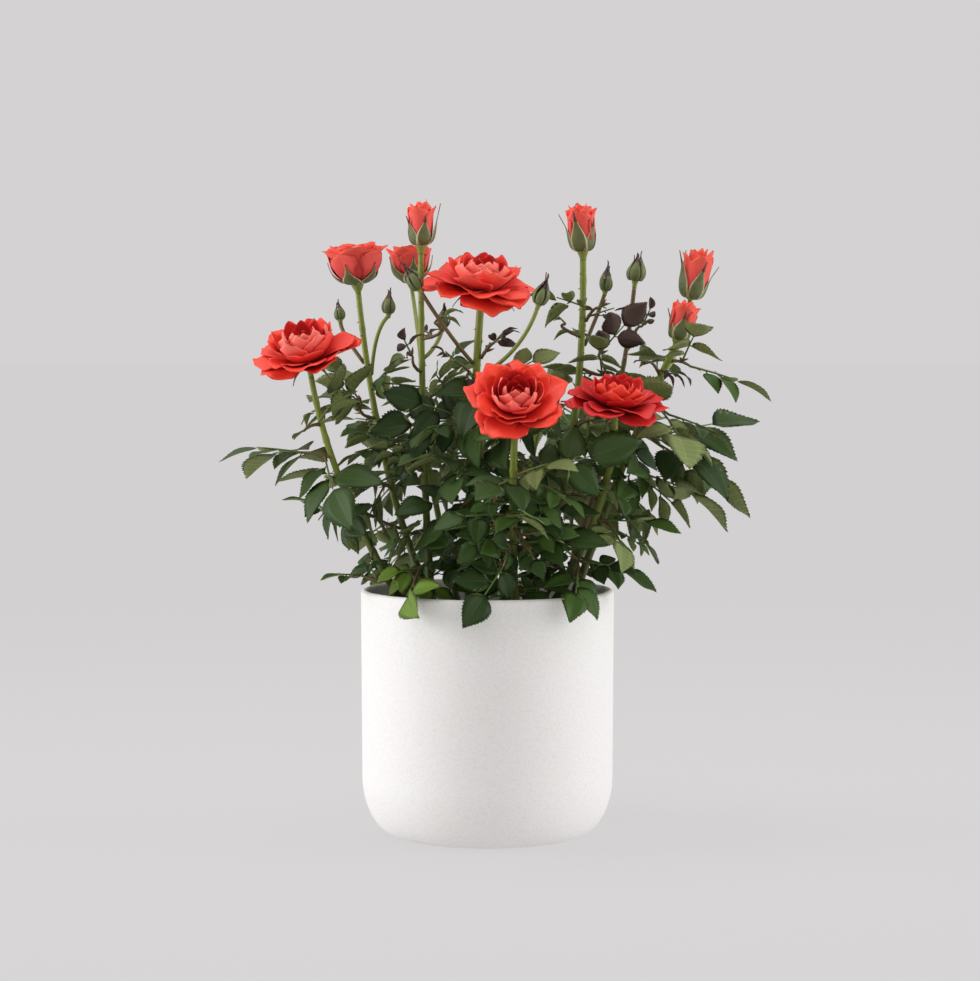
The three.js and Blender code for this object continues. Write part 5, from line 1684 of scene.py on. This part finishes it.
def open_petal_paints(name, f):
    """The paints of a petal's face and back, where f runs from the outermost petal (0) to the inmost (1); the
    deep paint is partly painted shade.
    """
    if name in DEEP_SHADED_ROSES:
        return PETAL_DEEP_SHADE, PETAL_DEEP_SHADE if f < CORAL_FROM else PETAL_FACE
    back = PETAL_BACK if f < CORAL_FROM else PETAL_DEEP_SHADE
    if CORAL_FROM < f < CORAL_TO:
        back = PETAL_CORAL
    return PETAL_DEEP_SHADE if f > DEEP_SHADE_FROM else PETAL_FACE, back


def open_rose(name, bloom):
    """Petals a golden angle apart from the outermost to the inmost, over five sepals that hang down."""
    radius, tall, lift, seed, phase = (bloom[key] for key in ("radius", "tall", "lift", "seed", "phase"))
    basis = bloom_frame(bloom)
    hang_way, hang, stand = HANG[name]
    for i in range(OPEN_PETALS):
        f = i / (OPEN_PETALS - 1)
        rule = {key: float(np.interp(f, WHORL_AT, row)) for key, row in WHORLS.items()}
        loose = rule["loose"]
        azimuth = phase + i * GOLDEN_ANGLE + SWIRL * (dice(seed + i, 1, 2, 3) - 0.5) * (0.4 + loose)
        chances = [dice(seed + i, 4, 5, face) - 0.5 for face in (6, 7, 8)]
        outward = math.cos(azimuth) * basis[0] + math.sin(azimuth) * basis[1]
        sag = (hang * (outward[0] * hang_way[0] + outward[1] * hang_way[1]) - stand) * loose
        angles = (rule["low"], rule["middle"] + sag * 0.6 + MIDDLE_BEND * chances[0] * loose,
                  rule["high"] + sag + EDGE_BEND * chances[1] * loose)
        length = radius * rule["length"] * (1 + LENGTH_CHANGE * chances[2] * loose)
        if f > BOWL_FROM:
            length *= min(BOWL_MOST, tall / (BOWL_RISE * radius))
        start = (radius * rule["root"], lift + 0.3 + 1.6 * f)
        roll_back = radius * rule["roll"] * (1 + chances[0])
        point = 0.4 + 0.6 * dice(seed + i, 4, 5, 9)
        rose_petal(bloom, azimuth, start, angles, length, width=radius * rule["width"],
                   cup=radius * rule["cup"], roll_back=roll_back, paints=open_petal_paints(name, f),
                   wobble=0.2 + 0.9 * loose, point=point, seed=seed + i)
    for i, azimuth in enumerate(bloom["fifths"]):
        length = 15 + 3 * dice(seed, i, 1, 8)
        sepal(bloom, azimuth, (bloom["hip"] * 0.7, lift - 0.4), OPEN_SEPAL, length, width=2.2, cup=3,
              brown_from=0.8, edge_paint=SEPAL_EDGE, seed=seed + i)


# The petals or the sepals in one ring
RING = 5
# The angles off the axis along a cup's outer and inner petals and its sepals, in degrees; the flare of the
# outer petals' tops varies
OUTER_CUP = (84, 48, 16)
OUTER_CUP_TOP = (20, 56)
INNER_CUP = (74, 34, 8, 12, 52)
CUP_HEART = 9
CUP_SEPAL = (86, 70, 38, 17, 8)


def half_open_rose(name, bloom):
    """Two rings of five broad petals that flare at the top, round a tight heart; the sepals hug the cup."""
    radius, tall, lift, seed, phase = (bloom[key] for key in ("radius", "tall", "lift", "seed", "phase"))
    fifths = bloom["fifths"]
    bowl = radius / tall
    paints = (PETAL_FACE, PETAL_BACK)
    for i in range(RING):
        azimuth = fifths[i] + 0.5 + 0.3 * (dice(seed, i, 7, 7) - 0.5)
        lean = 0.8 + 0.6 * abs(math.cos(azimuth)) * (0.7 + 0.6 * dice(seed, i, 7, 6))
        angles = [bowl * angle for angle in (*OUTER_CUP, *[top * lean for top in OUTER_CUP_TOP])]
        rose_petal(bloom, azimuth, (2.4, lift + 0.2), angles, tall * (0.78 + 0.54 * bowl),
                   width=radius * 0.92, cup=radius * 0.84, roll_back=0.9, paints=paints, wobble=0.4,
                   point=0.8, seed=seed + i)
    for i in range(RING):
        azimuth = fifths[i] - 0.1 + 0.3 * (dice(seed, i, 7, 8) - 0.5)
        angles = [bowl * angle for angle in INNER_CUP]
        rose_petal(bloom, azimuth, (2.0, lift + 0.4), angles, tall * (0.8 + 0.44 * bowl),
                   width=radius * 0.74, cup=radius * 0.66, roll_back=0.8, paints=paints, wobble=0.4,
                   point=0.4, seed=seed + 10 + i)
    # The heart's petals have the deep paint on their faces, partly as painted shade inside the tight heart
    for i in range(CUP_HEART):
        f = i / (CUP_HEART - 1)
        angles = (50 - 30 * f, 4, -12 - 14 * f)
        rose_petal(bloom, phase + i * GOLDEN_ANGLE, (1.6 - 0.8 * f, lift + 0.6 + f), angles,
                   tall * (1.08 - 0.16 * f), width=radius * (0.52 - 0.3 * f),
                   cup=radius * (0.42 - 0.28 * f), roll_back=0.3, paints=(PETAL_DEEP_SHADE, PETAL_CORAL),
                   wobble=0.3, point=0.3, seed=seed + 20 + i)
    for i, azimuth in enumerate(fifths):
        sepal(bloom, azimuth, (bloom["hip"] * 0.86, lift - 0.8), [bowl * angle for angle in CUP_SEPAL],
              16 + 4 * dice(seed, i, 1, 8), width=5.8, cup=radius * 0.42, brown_from=0.9,
              edge_paint=SEPAL_EDGE, seed=seed + i)


# A bud's whorls of three petals, outermost first: their girth, the angles of their lines and their length
WHORL = 3
WHORL_TURN = 0.9
BUD_WHORLS = [(1, (74, 12, 2, 4, 40), 1.08), (0.8, (60, 6, 0, 0, 20), 1.13), (0.55, (44, 2, -4, 0, 6), 1.14)]
# How far, at the most, a bud's sepals lean out at their tips
SEPAL_LEAN = 26


def coloured_bud(name, bloom):
    """Nine petals wrapped tightly round each other, in sepals that have begun to part."""
    radius, tall, lift, seed, phase = (bloom[key] for key in ("radius", "tall", "lift", "seed", "phase"))
    for i in range(WHORL * len(BUD_WHORLS)):
        whorl = i // WHORL
        girth, angles, share = BUD_WHORLS[whorl]
        azimuth = phase + i * 2 * math.pi / WHORL + whorl * WHORL_TURN
        length = tall * share * (0.96 + 0.07 * dice(seed, i, 7, 9))
        rose_petal(bloom, azimuth, (2.0 * girth, lift + 0.2), angles, length, width=radius * 1.25 * girth,
                   cup=radius * 0.86 * girth, roll_back=0.9 * girth, paints=(PETAL_FACE, PETAL_BACK),
                   wobble=0.5, point=0.5, seed=seed + i)
    for i, azimuth in enumerate(bloom["fifths"]):
        lean = SEPAL_LEAN * dice(seed, i, 2, 8)
        length = tall * (0.78 + 0.42 * dice(seed, i, 1, 8))
        sepal(bloom, azimuth, (bloom["hip"] * 0.88, lift - 0.8), (76, 14, 4, 2 + lean, lean), length,
              width=radius * 0.56, cup=radius * 0.9, brown_from=0.74, edge_paint=SEPAL_EDGE, seed=seed + i)


FULL_BUD = 1.05
# A green bud's outline: shares of its radius and of its body's height
BUD_OUTLINE = [(0.9, 0.18), (1, 0.38), (0.86, 0.62), (0.5, 0.86)]
BUD_SIDES = 16
GREEN_SEPAL = (46, 2, -32, -30)


def green_bud(name, bloom):
    """A closed green bud under sepals that meet over it and end in a brown tuft."""
    tall, lift, seed = (bloom[key] for key in ("tall", "lift", "seed"))
    radius = bloom["radius"] * FULL_BUD
    full = tall * min(0.78, 0.3 + 1.1 * radius / tall)
    body = [(0, lift - 0.3), (radius * 0.6, lift - 0.2)]
    body += [(radius * wide, lift + full * up) for wide, up in BUD_OUTLINE]
    body.append((0, lift + full))
    sepal_pieces.take(*turned_along(bloom, body, BUD_SIDES), BUD_SKIN)
    for i in range(RING):
        azimuth = bloom["phase"] + i * 2 * math.pi / RING
        tip_turn = 40 * dice(seed, i, 3, 8) - 8
        length = (tall + radius) * (0.85 + 0.4 * dice(seed, i, 6, 8))
        sepal(bloom, azimuth, (radius * 0.7, lift - 0.3), (*GREEN_SEPAL, tip_turn), length,
              width=radius * 0.62, cup=radius * 0.8, brown_from=(full + 0.4 * radius) / length,
              edge_paint=SEPAL, seed=seed + i)


FIRST_SEPAL = 0.3
DRESS = {"open": open_rose, "cup": half_open_rose, "bud": coloured_bud, "green": green_bud}
for number, (name, bloom) in enumerate(blooms.items()):
    hip = HIP[bloom["kind"]]
    lift = hip * SEAT[bloom["kind"]]
    phase = 2 * math.pi * dice(number, 9, 9, 9)
    fifths = [phase + i * 2 * math.pi / RING + FIRST_SEPAL for i in range(RING)]
    bloom.update(hip=hip, lift=lift, tall=bloom["height"] - lift, phase=phase, fifths=fifths,
                 seed=1000 * (number + 1))
    stem_and_hip(name, bloom)
    DRESS[bloom["kind"]](name, bloom)

petal_piece = petal_pieces.make("petals", petal_materials)
sepal_piece = sepal_pieces.make("sepals_and_hips", sepal_materials)
coloured = [name for name, bloom in blooms.items() if bloom["kind"] != "green"]
green_buds = [name for name, bloom in blooms.items() if bloom["kind"] == "green"]
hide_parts(*coloured)
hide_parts(*green_buds)
